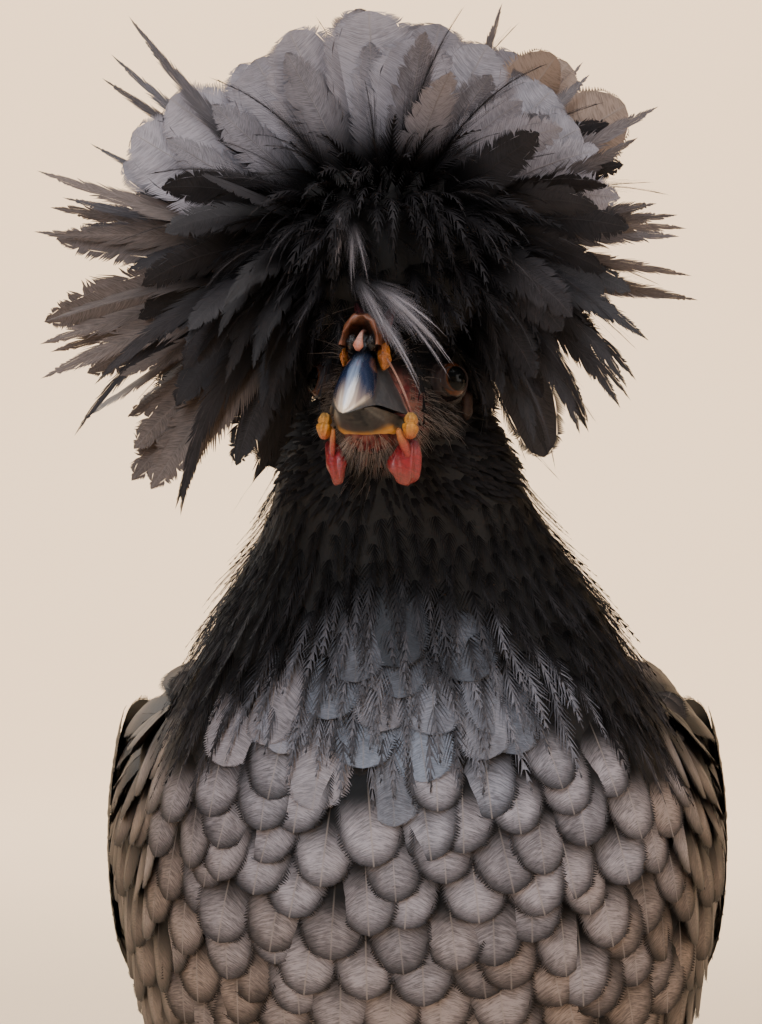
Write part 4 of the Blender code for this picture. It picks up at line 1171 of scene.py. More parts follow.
def lid_rows(centre, out, lines=22, around=56):
    """Rings of wrinkled skin round an eye, from its opening outwards and down to the face."""
    upward = square_to(Vector((0, 0, 1)), out)
    forward = out.cross(upward)
    rows = []
    for j in range(lines):
        far = j / (lines - 1)
        radius = 2.85 + 3.6 * far
        height = 3.55 + 0.3 * sin(min(1.0, far * 5) * pi) - 5.2 * far**1.5
        rows.append([])
        for k in range(around):
            a = 2 * pi * k / around
            crease = 0.30 * sin(far * 21 + 1.3 * sin(2 * a)) * min(1.0, far * 4) * (1 - 0.6 * far)
            crease += 0.12 * sin(13 * a + 9 * far) * far
            spot = forward * cos(a) + upward * sin(a) * (1 - 0.14 * abs(sin(a)) ** 1.5)
            spread = radius + 0.12 * sin(9 * a) * far
            rows[-1].append(centre + spot * spread + out * (height + crease))
    return rows


def cornea(_, along):
    """The bulge at the front of an eyeball."""
    return 1.0 + 0.07 * max(0.0, 1 - (along / 0.24) ** 2)


class HEN_OT_eyes(bpy.types.Operator):
    """Builds the two eyeballs and their lids"""

    bl_idname = "hen.eyes"
    bl_label = "Eyes and lids"

    def execute(self, context):
        colours = context.scene.hen_colours
        ball, lid = eye_finish(colours), soft_skin("lids", colours)
        for name, side in SIDES.items():
            axis, centre = mirrored(EYE_AXIS, side), mirrored(EYE_AT, side)
            eye = ball_rows(centre, (EYE_RADIUS,) * 3, axis, 26, 32, cornea)
            head_piece("eye_" + name + "_ball", [eye], ball, "eye", ("eye_" + name,))
            rows = lid_rows(centre, axis.normalized())
            head_piece("lids_" + name, [rows], lid, "plumage", caps=False)
        return {"FINISHED"}


def beak_section(t):
    """Ridge, floor, half width and nail half width of the upper beak at a share of its length."""
    ridge = CULMEN_BASE_Z - (CULMEN_BASE_Z - BEAK_TIP.z) * t**1.9
    floor = GAPE_Z + 0.25 + (BEAK_TIP.z - GAPE_Z - 0.4) * max(0.0, (t - 0.55) / 0.45) ** 1.5
    half = BEAK_HALF_WIDTH * (1 - t) ** 0.62 + 0.02
    nail = min(0.985 * half, 4.4 * sin(pi / 2 * min(1.0, max(0.0, (t - 0.06) / 0.6))) ** 0.75)
    return max(ridge, floor + 0.05), floor, half, nail


class HEN_OT_beak(bpy.types.Operator):
    """Builds the upper and the lower beak"""

    bl_idname = "hen.beak"
    bl_label = "Beak"

    def execute(self, context):
        colours = context.scene.hen_colours
        rows, marks = [], []
        length = BEAK_TIP.y - FACE_FRONT
        for t in 1 - (1 - np.linspace(0, 1, 48)) ** 1.5:
            ridge, floor, half, nail = beak_section(t)
            y = FACE_FRONT + 1.0 + (length - 1.0) * t
            row, mark = [], []

            def roof(x):
                return floor + (ridge - floor) * (1 - min(1.0, abs(x) / half) ** 1.4)

            for k in range(61):
                x = half * cos(pi * k / 60)
                z, inside = roof(x), max(0.0, 1 - (x / nail) ** 2) if nail > 0.1 else 0.0
                if inside:
                    edge = roof(nail)
                    z = max(z, edge + (ridge + 0.5 - edge) * inside**0.5)
                row.append(Vector((x, y - 0.5 * inside**0.5 * min(1.0, nail / 3), z)))
                mark.append(inside)
            for x in np.linspace(-0.9, 0.9, 9):
                row.append(Vector((x * half, y, floor + 0.9 * (1 - x * x) * min(1, half / 4))))
                mark.append(0.0)
            rows.append(row)
            marks.append(mark)
        upper = horn_finish("upper horn", colours)
        head_piece("upper_beak", [rows], upper, "horn", ("upper_mandible",), marks=marks)
        rows = []
        for t in np.linspace(0, 0.87, 24):
            _, floor, half, _ = beak_section(t)
            y = FACE_FRONT + 1.0 + (length - 1.0) * t
            share = 1 - (t / 0.87) ** 2.2
            keel = GAPE_Z - 4.2 * share - 0.5
            sill = min(floor, GAPE_Z) - 0.25
            rounded = (1 - ((t - 0.8) / 0.07) ** 2) ** 0.5 if 0.8 <= t < 0.869 else 0.05
            width = half * 0.88 * (1 if t < 0.8 else rounded)
            turns = [pi * k / 30 for k in range(31)]
            row = [Vector((width * cos(a), y, sill + (keel - sill) * sin(a) ** 0.75)) for a in turns]
            row += [Vector((x * width, y, sill - 0.8 * (1 - x * x))) for x in np.linspace(-0.86, 0.86, 7)]
            rows.append(row)
        head_piece("lower_beak", [rows], lower_horn_finish(colours), "horn", ("lower_mandible",))
        return {"FINISHED"}


class HEN_OT_nostrils(bpy.types.Operator):
    """Builds the two raised nostrils with their open fronts and the wall between them"""

    bl_idname = "hen.nostrils"
    bl_label = "Nostrils"

    def execute(self, context):
        colours = context.scene.hen_colours
        hood = soft_skin("nostril skin", colours)
        rows = []
        for k, (y, half, high, z) in enumerate(smooth_path(NOSTRIL_HOOD, 4, np.array)):
            rows.append([])
            for j in range(45):
                a = radians(4 + 172 * j / 44)
                wave = 1 + 0.035 * sin(5 * a + 0.4 * k) + 0.02 * sin(11 * a - 0.3 * k)
                dent = 1 - 0.04 * exp(-((a - 1.57) / 0.22) ** 2)
                tall = high * sin(a) * wave * dent
                rows[-1].append(Vector((0.84 * half * cos(a) * wave, y + 0.22 * tall, z + 1.1 + tall)))
        head_piece("nostrils", [rows], hood, "brown_skin", ("nostril_dome",), closed=False)
        pink = soft_skin("wall between the nostrils", colours)
        path = smooth_path(NOSTRIL_WALL, 6)
        radii = taper((0.4, 0.45, 0.4, 0.55, 0.8, 1.1, 0.5), len(path))
        wall = tube_rows(path, radii, 16, 1.0, Vector((1, 0, 0)))
        head_piece("nostril_wall", [wall], pink, "brown_skin")
        dark, amber = soft_skin("nostril floor", colours), soft_skin("amber skin", colours)
        lumps, patches = [], []
        forward = Vector((0, -1, 0))
        for side in SIDES.values():
            floor = mirrored((2.1, -33.0, 8.2), side)
            lumps.append(ball_rows(floor, (1.3, 2.2, 1.7), forward, 14, 20, lobed))
            big = 1.0 if side > 0 else 0.65
            radii = (1.3 * big, 2.7 * big, 2.8 * big)
            patches.append(ball_rows(mirrored((4.3, -30.6, 5.6), side), radii, forward, 20, 28, lobed))
        head_piece("nostril_floors", lumps, dark, "brown_skin")
        head_piece("amber_patches", patches, amber, "brown_skin")
        return {"FINISHED"}


def lobed(around, along):
    """The lumpy surface of the swellings in and beside the nostrils."""
    ripple = sin(8 * pi * around + 5 * along) + 0.6 * sin(14 * pi * around - 17 * along)
    return 1.0 + 0.09 * ripple * sin(pi * along)


def creased(around, along):
    """The wrinkled surface of a swollen corner of the mouth, folded in where the beak closes."""
    mouth = 0.34 * exp(-(((along - 0.45 + 0.05 * sin(2 * pi * around)) / 0.05) ** 2))
    wrinkle = sin(14 * pi * around + 7 * along) + 0.7 * sin(6 * pi * around - 13 * along)
    return 1.0 - mouth + 0.075 * wrinkle * sin(pi * along)


def leaf(side):
    """The rippled surface of a wattle or ear lobe, which differs between the sides."""

    def shape(around, along):
        ripple = 0.05 * sin(6 * pi * along + side) + 0.035 * sin(22 * pi * around + 9 * along)
        return 1.0 + ripple * sin(pi * along)

    return shape


def wattle_rows(side):
    """A thin, cupped and creased lobe that hangs from the throat, slimmer on the bird's right."""
    rows = ball_rows((0, 0, 0), WATTLE, Vector((0, 0, -1)), 26, 36, leaf(side))
    turn = Matrix.Rotation(radians(14 * side), 3, "Y") @ Matrix.Rotation(radians(-36 * side), 3, "Z")
    centre = mirrored(WATTLE_AT, side)
    for row in rows:
        for index, point in enumerate(row):
            cup = 0.10 * point.y**2 - 0.05 * (point.z + 2) ** 2 * (point.z < -2)
            cup += 0.6 * sin(1.9 * point.y + 0.6 * point.z)
            slim = (1 - 0.42 * max(0.0, point.z / WATTLE[2])) * (1 if side > 0 else 0.6)
            row[index] = turn @ Vector((point.x - side * cup * 0.5, point.y * slim, point.z)) + centre
    return rows


class HEN_OT_face(bpy.types.Operator):
    """Builds comb, wattles, ear lobes, the corners of the mouth and the folds of bare skin"""

    bl_idname = "hen.face"
    bl_label = "Face skin"

    def execute(self, context):
        colours = context.scene.hen_colours
        names = ("red skin", "ear lobe skin", "gape skin", "edge skin", "throat folds")
        red, pale, corner, edge, fold = (soft_skin(name, colours) for name in names)
        for name, side in SIDES.items():
            head_piece("wattle_" + name + "_skin", [wattle_rows(side)], red, "red_skin", ("wattle_" + name,))
            radii = [radius * 0.84 for radius in EAR_LOBE]
            lobe = ball_rows(mirrored(EAR_LOBE_AT, side), radii, Vector((0, 0, -1)), 14, 20, leaf(side))
            head_piece("ear_lobe_" + name + "_skin", [lobe], pale, "pale_skin", ("ear_lobe_" + name,))
            lump = ball_rows(mirrored(GAPE_AT, side), GAPE, lines=30, around=40, shape=creased)
            head_piece("gape_" + name, [lump], corner, "horn")
            if side > 0:
                path = smooth_path(BEAK_EDGE, 9)
                radii = taper((0.15, 0.28, 0.22, 0.30, 0.2, 0.15), len(path))
                head_piece("edge_skin", [tube_rows(path, radii, 12, 0.8)], edge, "brown_skin")
            path = smooth_path([mirrored(p, side) for p in THROAT_FOLD], 6)
            radii = (0.5, 1.0, 1.2, 1.2, 1.1, 0.5) if side > 0 else (0.4, 0.7, 0.8, 0.8, 0.7, 0.4)
            radii = [r * (1 + 0.05 * sin(1.1 * k)) for k, r in enumerate(taper(radii, len(path)))]
            head_piece("throat_fold_" + name, [tube_rows(path, radii, 12, 0.8)], fold, "red_skin")
        grids = [ball_rows(COMB_AT, (4.0, 2.9, 3.4), lines=12, around=20)]
        for side in SIDES.values():
            path = smooth_path([mirrored(p, side) for p in COMB_HORN], 4)
            grids.append(tube_rows(path, taper((1.9, 1.7, 1.3, 0.9, 0.3), len(path)), 10))
        head_piece("comb_skin", grids, soft_skin("comb skin", colours), "red_skin", ("comb",))
        return {"FINISHED"}


class HEN_OT_legs(bpy.types.Operator):
    """Builds scaled shanks and feet, and the claws"""

    bl_idname = "hen.legs"
    bl_label = "Legs"

    def execute(self, context):
        colours = context.scene.hen_colours
        scales = scale_finish(colours)
        claws = plain_horn("claws", (0.02, 0.02, 0.022), (0.12, 0.11, 0.10))
        for name, side in SIDES.items():
            bm, tips = bmesh.new(), bmesh.new()
            hock, ankle = plan(mirrored(HOCK_AT, side)), plan(mirrored(ANKLE_AT, side))
            top = hock + (hock - ankle).normalized() * 7 * MM
            shank = [top.lerp(ankle, t) for t in np.linspace(0, 1, 6)]
            self.scaled_limb(bm, shank, SHANK_RADII, 15, Vector((0, -1, 0)), 0.86)
            pad = Vector((ankle.x, ankle.y, 5.6 * MM))
            lay_grid(bm, ball_rows(pad, Vector((7.2, 8.2, 5.5)) * MM, lines=14, around=20))
            for turn, length, radius in TOES:
                angle = radians(turn) * side
                way = Vector((sin(angle), -cos(angle), 0))
                start = Vector((ankle.x, ankle.y, 5.4 * MM))
                knuckle = start + way * length * MM
                path = [start.lerp(knuckle, t) for t in np.linspace(0, 1, 6)]
                for k, point in enumerate(path):
                    point.z = (radius * (1.2 - 0.06 * k) + 0.35) * MM
                pads = [radius * share for share in TOE_PADS]
                self.scaled_limb(bm, path, pads, max(5, int(length / 3)), Vector((0, 0, 1)), 0.95)
                root = path[-1] - way * 1.5 * MM + Vector((0, 0, 0.6 * MM))
                tip = knuckle + way * CLAW_LENGTH * MM
                middle = root.lerp(tip, 0.5) + Vector((0, 0, 1.0 * MM))
                bow = smooth_path([root, middle, Vector((tip.x, tip.y, 0.7 * MM))], 6)
                radii = [r * MM for r in taper(CLAW_RADII, len(bow))]
                lay_grid(tips, tube_rows(bow, radii, 10, 0.75))
            leg, claw = "leg_" + name + "_scales", "claws_" + name
            dressed(leg, as_mesh(leg, bm), scales, ("shank_" + name, "foot_" + name))
            dressed(claw, as_mesh(claw, tips), claws)
        return {"FINISHED"}

    def scaled_limb(self, bm, path, radii, plates, front, flat):
        """A limb with a row of overlapping plates along its front."""
        lines = plates * 4 + 1
        places = [path[0].lerp(path[-1], t) for t in np.linspace(0, 1, lines)]
        for k, t in enumerate(np.linspace(0, 1, lines)):
            places[k].z = float(np.interp(t, np.linspace(0, 1, len(path)), [p.z for p in path]))
        radii = taper(radii, lines)
        rows, marks = [], []
        way = (path[-1] - path[0]).normalized()
        ahead = square_to(front, way)
        across = way.cross(ahead)
        for k, (place, radius) in enumerate(zip(places, radii)):
            step = (k % 4) / 4.0
            rows.append([])
            marks.append([])
            for j in range(20):
                a = 2 * pi * j / 20
                cover = max(0.0, cos(a) - 0.1) ** 0.5
                lift = 1 + cover * 0.16 * (step - 0.2)
                spoke = ahead * cos(a) + across * sin(a) * flat
                rows[-1].append(place + spoke * radius * MM * lift)
                marks[-1].append(min(1.0, cover * 1.4))
        for row in rows:
            for point in row:
                point.z = max(point.z, 0.05 * MM)
        lay_grid(bm, rows, marks=marks)


def body_look(where, turn, draw):
    """How light and how warm a body feather is, by its place. Its light sets how much painted sheen and light
    its middle takes, more at the front and sides than at the back.
    """
    front = min(1.0, max(0.0, 0.6 + 0.8 * cos(turn))) + 0.35 * max(0.0, abs(sin(turn)) - 0.5)
    warm = np.interp(where, (6.0, 8.2, 9.2), (0.82, 0.44, 0.14)) + 0.12 * abs(sin(turn))
    light = np.interp(where, (5.5, 7.5, 9.2, 9.8, 10.6), (0.46, 0.85, 0.78, 0.36, 0.08)) * (0.5 + 0.5 * front)
    return light * draw.uniform(0.65, 1.3), min(1.0, warm + draw.uniform(-0.1, 0.1))


def tiled(work, spacing, draw):
    """Roots on the body in staggered rows, like tiles, and an even scatter where it has no rows."""
    ground = work[0]
    turns, wheres = np.linspace(-pi, pi, 181), np.linspace(0.2, 11.0, 400)

    def run_of(points):
        return np.concatenate([[0], np.cumsum(np.linalg.norm(np.diff(points, axis=0), axis=1))])

    keel = run_of(body_curve(wheres, np.zeros(400)))
    chosen = []

    def take(point, close):
        place, normal, index = ground.near(Vector(point))
        far = min(((place - other).length for other, _ in chosen), default=1.0)
        if region(work, ground.centres[index]) == "body" and far > close * spacing:
            chosen.append((place, normal))

    for number, where in enumerate(np.interp(np.arange(0, keel[-1], 0.76 * spacing), keel, wheres)):
        run = run_of(body_curve(np.full(181, where), turns))
        steps = int(run[-1] / 2 / spacing)
        for k in sorted(range(-steps, steps + 1), key=abs):
            spot = run[-1] / 2 + (k + 0.5 * (number % 2) + draw.uniform(-0.1, 0.1)) * spacing
            turn = np.interp(spot, run, turns)
            point = body_curve(np.array([where + draw.uniform(-0.04, 0.04)]), np.array([turn]))[0]
            if (Vector(point) - ground.near(Vector(point))[0]).length < 7 * MM:
                take(point, 0.55)
    for place, _, _ in ground.scatter(0.85 * spacing, within(work, "body"), 3, 2):
        take(place, 0.72)
    return chosen


class HEN_OT_body_feathers(bpy.types.Operator):
    """Lays the feathers of breast, belly, back and thighs"""

    bl_idname = "hen.body_feathers"
    bl_label = "Body feathers"

    def execute(self, context):
        work = workshop(context)
        ground, body, kinds = work
        sizes = context.scene.hen_sizes
        coats = {name: Coat(kinds, ground, 5) for name in ("breast_left", "breast_right", "bib", "back")}
        draw = random.Random(8)
        for place, normal in tiled(work, sizes.chest_spacing, draw):
            where, turn, flow, _ = body.at(place)
            beside = max(0.0, abs(normal.x) - 0.45) * 1.8 if 3.5 < where < 9.5 else 0.0
            flow += Vector((0, 0, -1.6)) * beside
            front = cos(turn)
            half_of_breast = "breast_left" if sin(turn) > 0 else "breast_right"
            top = where > 8.9 + draw.uniform(-0.4, 0.4)
            coat = coats["back" if front < 0.0 else "bib" if top else half_of_breast]
            small = np.interp(where, (0, 2, 7.2, 10.5), (0.95, 1.0, 1.0, 0.93))
            length = sizes.chest_length * small * draw.uniform(0.92, 1.08)
            if front < -0.3:
                length *= 1.05
            flow = square_to(flow + stray(draw, 0.15), normal)
            half = sizes.chest_half * small * draw.uniform(0.93, 1.07) * (1.0 if front > -0.3 else 0.9)
            rise = (2.9 - 1.3 * beside) * MM * draw.uniform(0.82, 1.18)
            rise *= np.interp(where, (8.0, 10.0), (1.0, 0.6))
            look, twist = body_look(where, turn, draw), draw.uniform(-0.2, 0.2)
            coat.follow("scale", place, normal, flow * length, 1.2 * MM, rise, half, look, twist)
        for name, coat in coats.items():
            coat.grow(name + "_feathers", WORK["crest" if name == "bib" else "plumage"])
        thigh = Coat(kinds, ground, 6)
        for place, normal, _ in ground.scatter(3.8 * MM, within(work, "thigh"), 4):
            flow = square_to(Vector((0, 0.22, -1)), normal)
            length = np.interp(place.z, (plan((0, 0, 92)).z, plan((0, 0, 120)).z), (12, 20)) * MM
            look = (0.25 * draw.uniform(0.6, 1.4), 0.7)
            thigh.follow("neck", place, normal, flow * length, 0.8 * MM, 2.6 * MM, 3.4 * MM, look)
        thigh.grow("thigh_feathers", WORK["down"])
        return {"FINISHED"}


class HEN_OT_neck_feathers(bpy.types.Operator):
    """Lays the soft black feathers of the neck and the small ones of the head and face"""

    bl_idname = "hen.neck_feathers"
    bl_label = "Neck and head feathers"

    def execute(self, context):
        work = workshop(context)
        ground, body, kinds = work
        sizes = context.scene.hen_sizes
        draw = random.Random(12)
        neck = Coat(kinds, ground, 9)
        for place, normal, _ in ground.scatter(sizes.neck_spacing, within(work, "neck"), 5, 3):
            where, _, flow, _ = body.at(place)
            flow = square_to(flow + stray(draw, 0.16), normal)
            grow = np.interp(where, (8.2, 9.5, 12), (1.2, 0.95, 0.72))
            length = sizes.neck_length * grow * draw.uniform(0.85, 1.2)
            half = sizes.neck_half * grow * draw.uniform(0.85, 1.15)
            light = np.interp(where, (7.6, 9.0, 11.0), (0.08, 0.035, 0.010)) * draw.uniform(0.2, 1.8)
            rise = draw.uniform(2.4, 4.4) * MM * np.interp(where, (10, 12), (1, 0.75))
            look, twist = (light, 0.35), draw.uniform(-0.5, 0.5)
            neck.follow("neck", place, normal, flow * length, 0.8 * MM, rise, half, look, twist)
        neck.grow("neck_feathers", WORK["down"])
        veil = Coat(kinds, ground, 9)

        def on_bib(point):
            where, turn, _, _ = body.at(Vector(point))
            return region(work, point) == "body" and where > 8.7 and cos(turn) > 0.2

        for place, normal, _ in ground.scatter(4.2 * MM, on_bib, 15, 2):
            where, _, flow, _ = body.at(place)
            reach = square_to(flow + stray(draw, 0.12), normal) * draw.uniform(17, 24) * MM
            # Painted sheen: the veil's light paints blue-grey sheen on black feathers at the top of the
            # breast.
            light = np.interp(where, (8.7, 9.5, 10.6), (0.42, 0.30, 0.05)) * draw.uniform(0.4, 1.4)
            rise, half = draw.uniform(2.6, 3.8) * MM, draw.uniform(2.8, 4.2) * MM
            look, twist = (light, 0.2), draw.uniform(-0.4, 0.4)
            veil.follow("neck", place, normal, reach, 0.8 * MM, rise, half, look, twist)
        veil.grow("bib_veil_feathers", WORK["down"])
        head = Coat(kinds, ground, 10)

        def covered(point):
            return region(work, point) == "head" and feathered(in_head_frame(point))

        for place, normal, _ in ground.scatter(sizes.face_spacing, covered, 6, 2):
            local = in_head_frame(place)
            away = HEAD.to_3x3() @ (local - Vector((0, -30, -2))).normalized()
            flow = square_to(away + stray(draw, 0.2), normal)
            small = float(np.interp(local.y, (-26, -8, 10), (0.45, 0.75, 1.1)))
            reach = flow * (9.5 * MM * small * draw.uniform(0.8, 1.2))
            rise, twist = draw.uniform(0.8, 2.0) * MM * small, draw.uniform(-0.5, 0.5)
            head.follow("tiny", place, normal, reach, 0.3 * MM, rise, 1.3 * MM * small, (0.02, 0.4), twist)
        head.grow("head_feathers", WORK["down"])
        return {"FINISHED"}


def feathered(local):
    """Whether a place of the head, in its own frame in millimetres, carries small feathers."""
    for side in SIDES.values():
        if (local - mirrored(EYE_AT, side) - mirrored(EYE_AXIS, side) * 3).length < 4.8:
            return False
        if (local - mirrored(GAPE_CORNER_AT, side)).length < 4.5:
            return False
    return not (local.y < -20 and local.z > -12)


class HEN_OT_bristles(bpy.types.Operator):
    """Sets the thin bristles of throat, lores and forehead"""

    bl_idname = "hen.bristles"
    bl_label = "Bristles"

    def execute(self, context):
        ground, _, kinds = workshop(context)
        colours = context.scene.hen_colours
        draw = random.Random(21)
        straw = Finish("bristles", Specular_IOR_Level=0.5)
        _, along, _ = straw.split(straw.uv("Vane"))
        light, _, chance = straw.split(straw.attribute("look"))
        tone = straw.mix((light * (0.6 + chance * 0.8)).clamped(), colours.feather_black, (0.50, 0.36, 0.29))
        tone = straw.mix(along * 0.35, tone, colours.feather_black)
        material = straw.set(Base_Color=tone, Roughness=0.35 + 0.2 * chance)
        coat = Coat(kinds, ground, 22)
        turn = HEAD.to_3x3()

        def sow(number, spot, way, lengths, light, radius=0.11):
            """Bristles whose root is drawn in a box about a spot, and set on the skin."""
            for _ in range(number):
                local = Vector([c + draw.uniform(-s, s) for c, s in zip(*spot)])
                place, normal, _ = ground.near(HEAD @ (local * MM))
                out = (turn @ Vector(way(in_head_frame(place)))).normalized()
                out = (out + normal * draw.uniform(0.25, 0.9) + stray(draw, 0.3)).normalized()
                fall = square_to(Vector((draw.uniform(-0.4, 0.4), 0.3, -1)), out)
                face = square_to(normal, out)
                length, bend = draw.uniform(*lengths) * MM, draw.uniform(0.1, 0.9)
                root = place - normal * 0.3 * MM
                coat.add("hair", root, out, fall, bend, face, length, radius * MM, (light, 0.5))

        sow(240, ((0, -25, -13), (7.0, 6, 2.5)), lambda p: (p.x * 0.14, -0.5, -1), (2.2, 5.0), 0.6, 0.045)
        sow(200, ((0, -20, -17), (9, 6, 3)), lambda p: (p.x * 0.12, -0.4, -1), (3, 6.5), 0.16, 0.08)
        for side in SIDES.values():
            lores = (side * 9, -19, 1), (2.5, 5, 6)
            sow(60, lores, lambda p: (p.x * 0.12, 0.9, -0.25), (2.5, 6), 0.25, 0.05)
            sow(70, ((side * 10, -19, -8), (2.5, 5, 4)), lambda p: (p.x * 0.10, 0.8, -0.7), (3, 7), 0.4, 0.05)
            sow(60, ((side * 12, -9, -3), (2, 5, 3)), lambda p: (p.x * 0.1, 0.6, -0.7), (3, 6), 0.15, 0.08)
        sow(80, ((0, -22, 12), (8, 4, 3)), lambda p: (p.x * 0.1, -0.5, 0.2), (6, 13), 0.16, 0.14)
        coat.grow("bristles", material)
        return {"FINISHED"}


def wing_point(place, side, lift):
    """A point on the outer face of a folded wing, from its shares of half length and half height."""
    u, v = place
    bulge = sqrt(max(0.02, 1 - 0.66 * u * u - 0.62 * v * v))
    tuck = 16 * max(0.0, u - 0.7)
    local = Vector((WING.x * bulge + lift - tuck, WING.y * u, WING.z * v))
    local = Matrix.Rotation(WING_TILT, 3, "X") @ local
    return plan(mirrored(WING_AT + local, side))


def wing_normal(place, side):
    """The way out of a folded wing's outer face."""
    here = wing_point(place, side, 0)
    ahead = wing_point((place[0] + 0.03, place[1]), side, 0) - here
    above = wing_point((place[0], place[1] + 0.03), side, 0) - here
    normal = ahead.cross(above).normalized()
    return normal if normal.x * side > 0 else -normal


class HEN_OT_wings(bpy.types.Operator):
    """Lays the feathers of both folded wings in their tiers"""

    bl_idname = "hen.wings"
    bl_label = "Wings"

    def execute(self, context):
        ground, _, kinds = workshop(context)
        for name, side in SIDES.items():
            coat = Coat(kinds, ground, 31)
            draw = random.Random(33)
            for kind, number, root_low, root_high, tip_low, tip_high, half, lift, look in WING_TIERS:
                for k in range(number):
                    share = k / (number - 1)
                    root = Vector(root_low).lerp(Vector(root_high), share)
                    tip = Vector(tip_low).lerp(Vector(tip_high), share)
                    root += stray(draw, 0.02, 2)
                    tip += stray(draw, 0.02, 2)
                    light = look[0] * draw.uniform(0.8, 1.15)
                    coat.lay(
                        kind, wing_point(root, side, -3.0), wing_normal(root, side), wing_point(tip, side, 0),
                        wing_normal(tip, side), 0.0, (lift - 1.2) * MM, half * MM * draw.uniform(0.95, 1.08),
                        (light, look[1]), -0.08 * side,
                    )
            coat.grow("wing_" + name + "_feathers", WORK["plumage"], ("wing_" + name,))
        return {"FINISHED"}


class HEN_OT_tail(bpy.types.Operator):
    """Builds the spread tail with its coverts"""

    bl_idname = "hen.tail"
    bl_label = "Tail"

    def execute(self, context):
        ground, _, kinds = workshop(context)
        coat, draw = Coat(kinds, ground, 41), random.Random(42)

        def tail_way(rise, turn, side):
            rise, turn = radians(rise), radians(turn)
            return Vector((side * sin(turn) * cos(rise), cos(turn) * cos(rise), sin(rise)))

        for side in SIDES.values():
            for kind, number, length, half, lift, first_way, last_way, look in TAIL_TIERS:
                first, last = tail_way(*first_way, side), tail_way(*last_way, side)
                face = first.cross(last).normalized()
                face = face if face.z > 0 else -face
                for k in range(number):
                    share = k / (number - 1)
                    way = first.slerp(last, share)
                    root = plan(TAIL_AT + Vector((side * (4 + 8 * share), 2, 2 - 6 * share)))
                    root += face * (lift - 1.5 * k) * MM
                    long = length * (1 - 0.14 * share) * MM * draw.uniform(0.97, 1.02)
                    coat.add(kind, root, way, square_to(face, way), radians(-10), face, long, half * MM, look)
        coat.grow("tail_feathers", WORK["plumage"], ("tail",))
        return {"FINISHED"}


KEEP_OUT = (
    (HEAD_AT, Vector((19, 32, 19)) * MM),
    (plan((-3, -74, 262)), Vector((43, 38, 40)) * MM),
    (plan((-1, -60, 232)), Vector((62, 62, 44)) * MM),
)


def clear_of_body(co):
    """Moves points out of the egg-shaped spaces that hold the head, the neck and the breast."""
    for middle, radii in KEEP_OUT:
        away = co - np.array(middle)
        depth = np.linalg.norm(away / np.array(radii), axis=1)
        inside = depth < 1
        co[inside] = np.array(middle) + away[inside] / np.maximum(depth[inside], 0.25)[:, None]
    return co


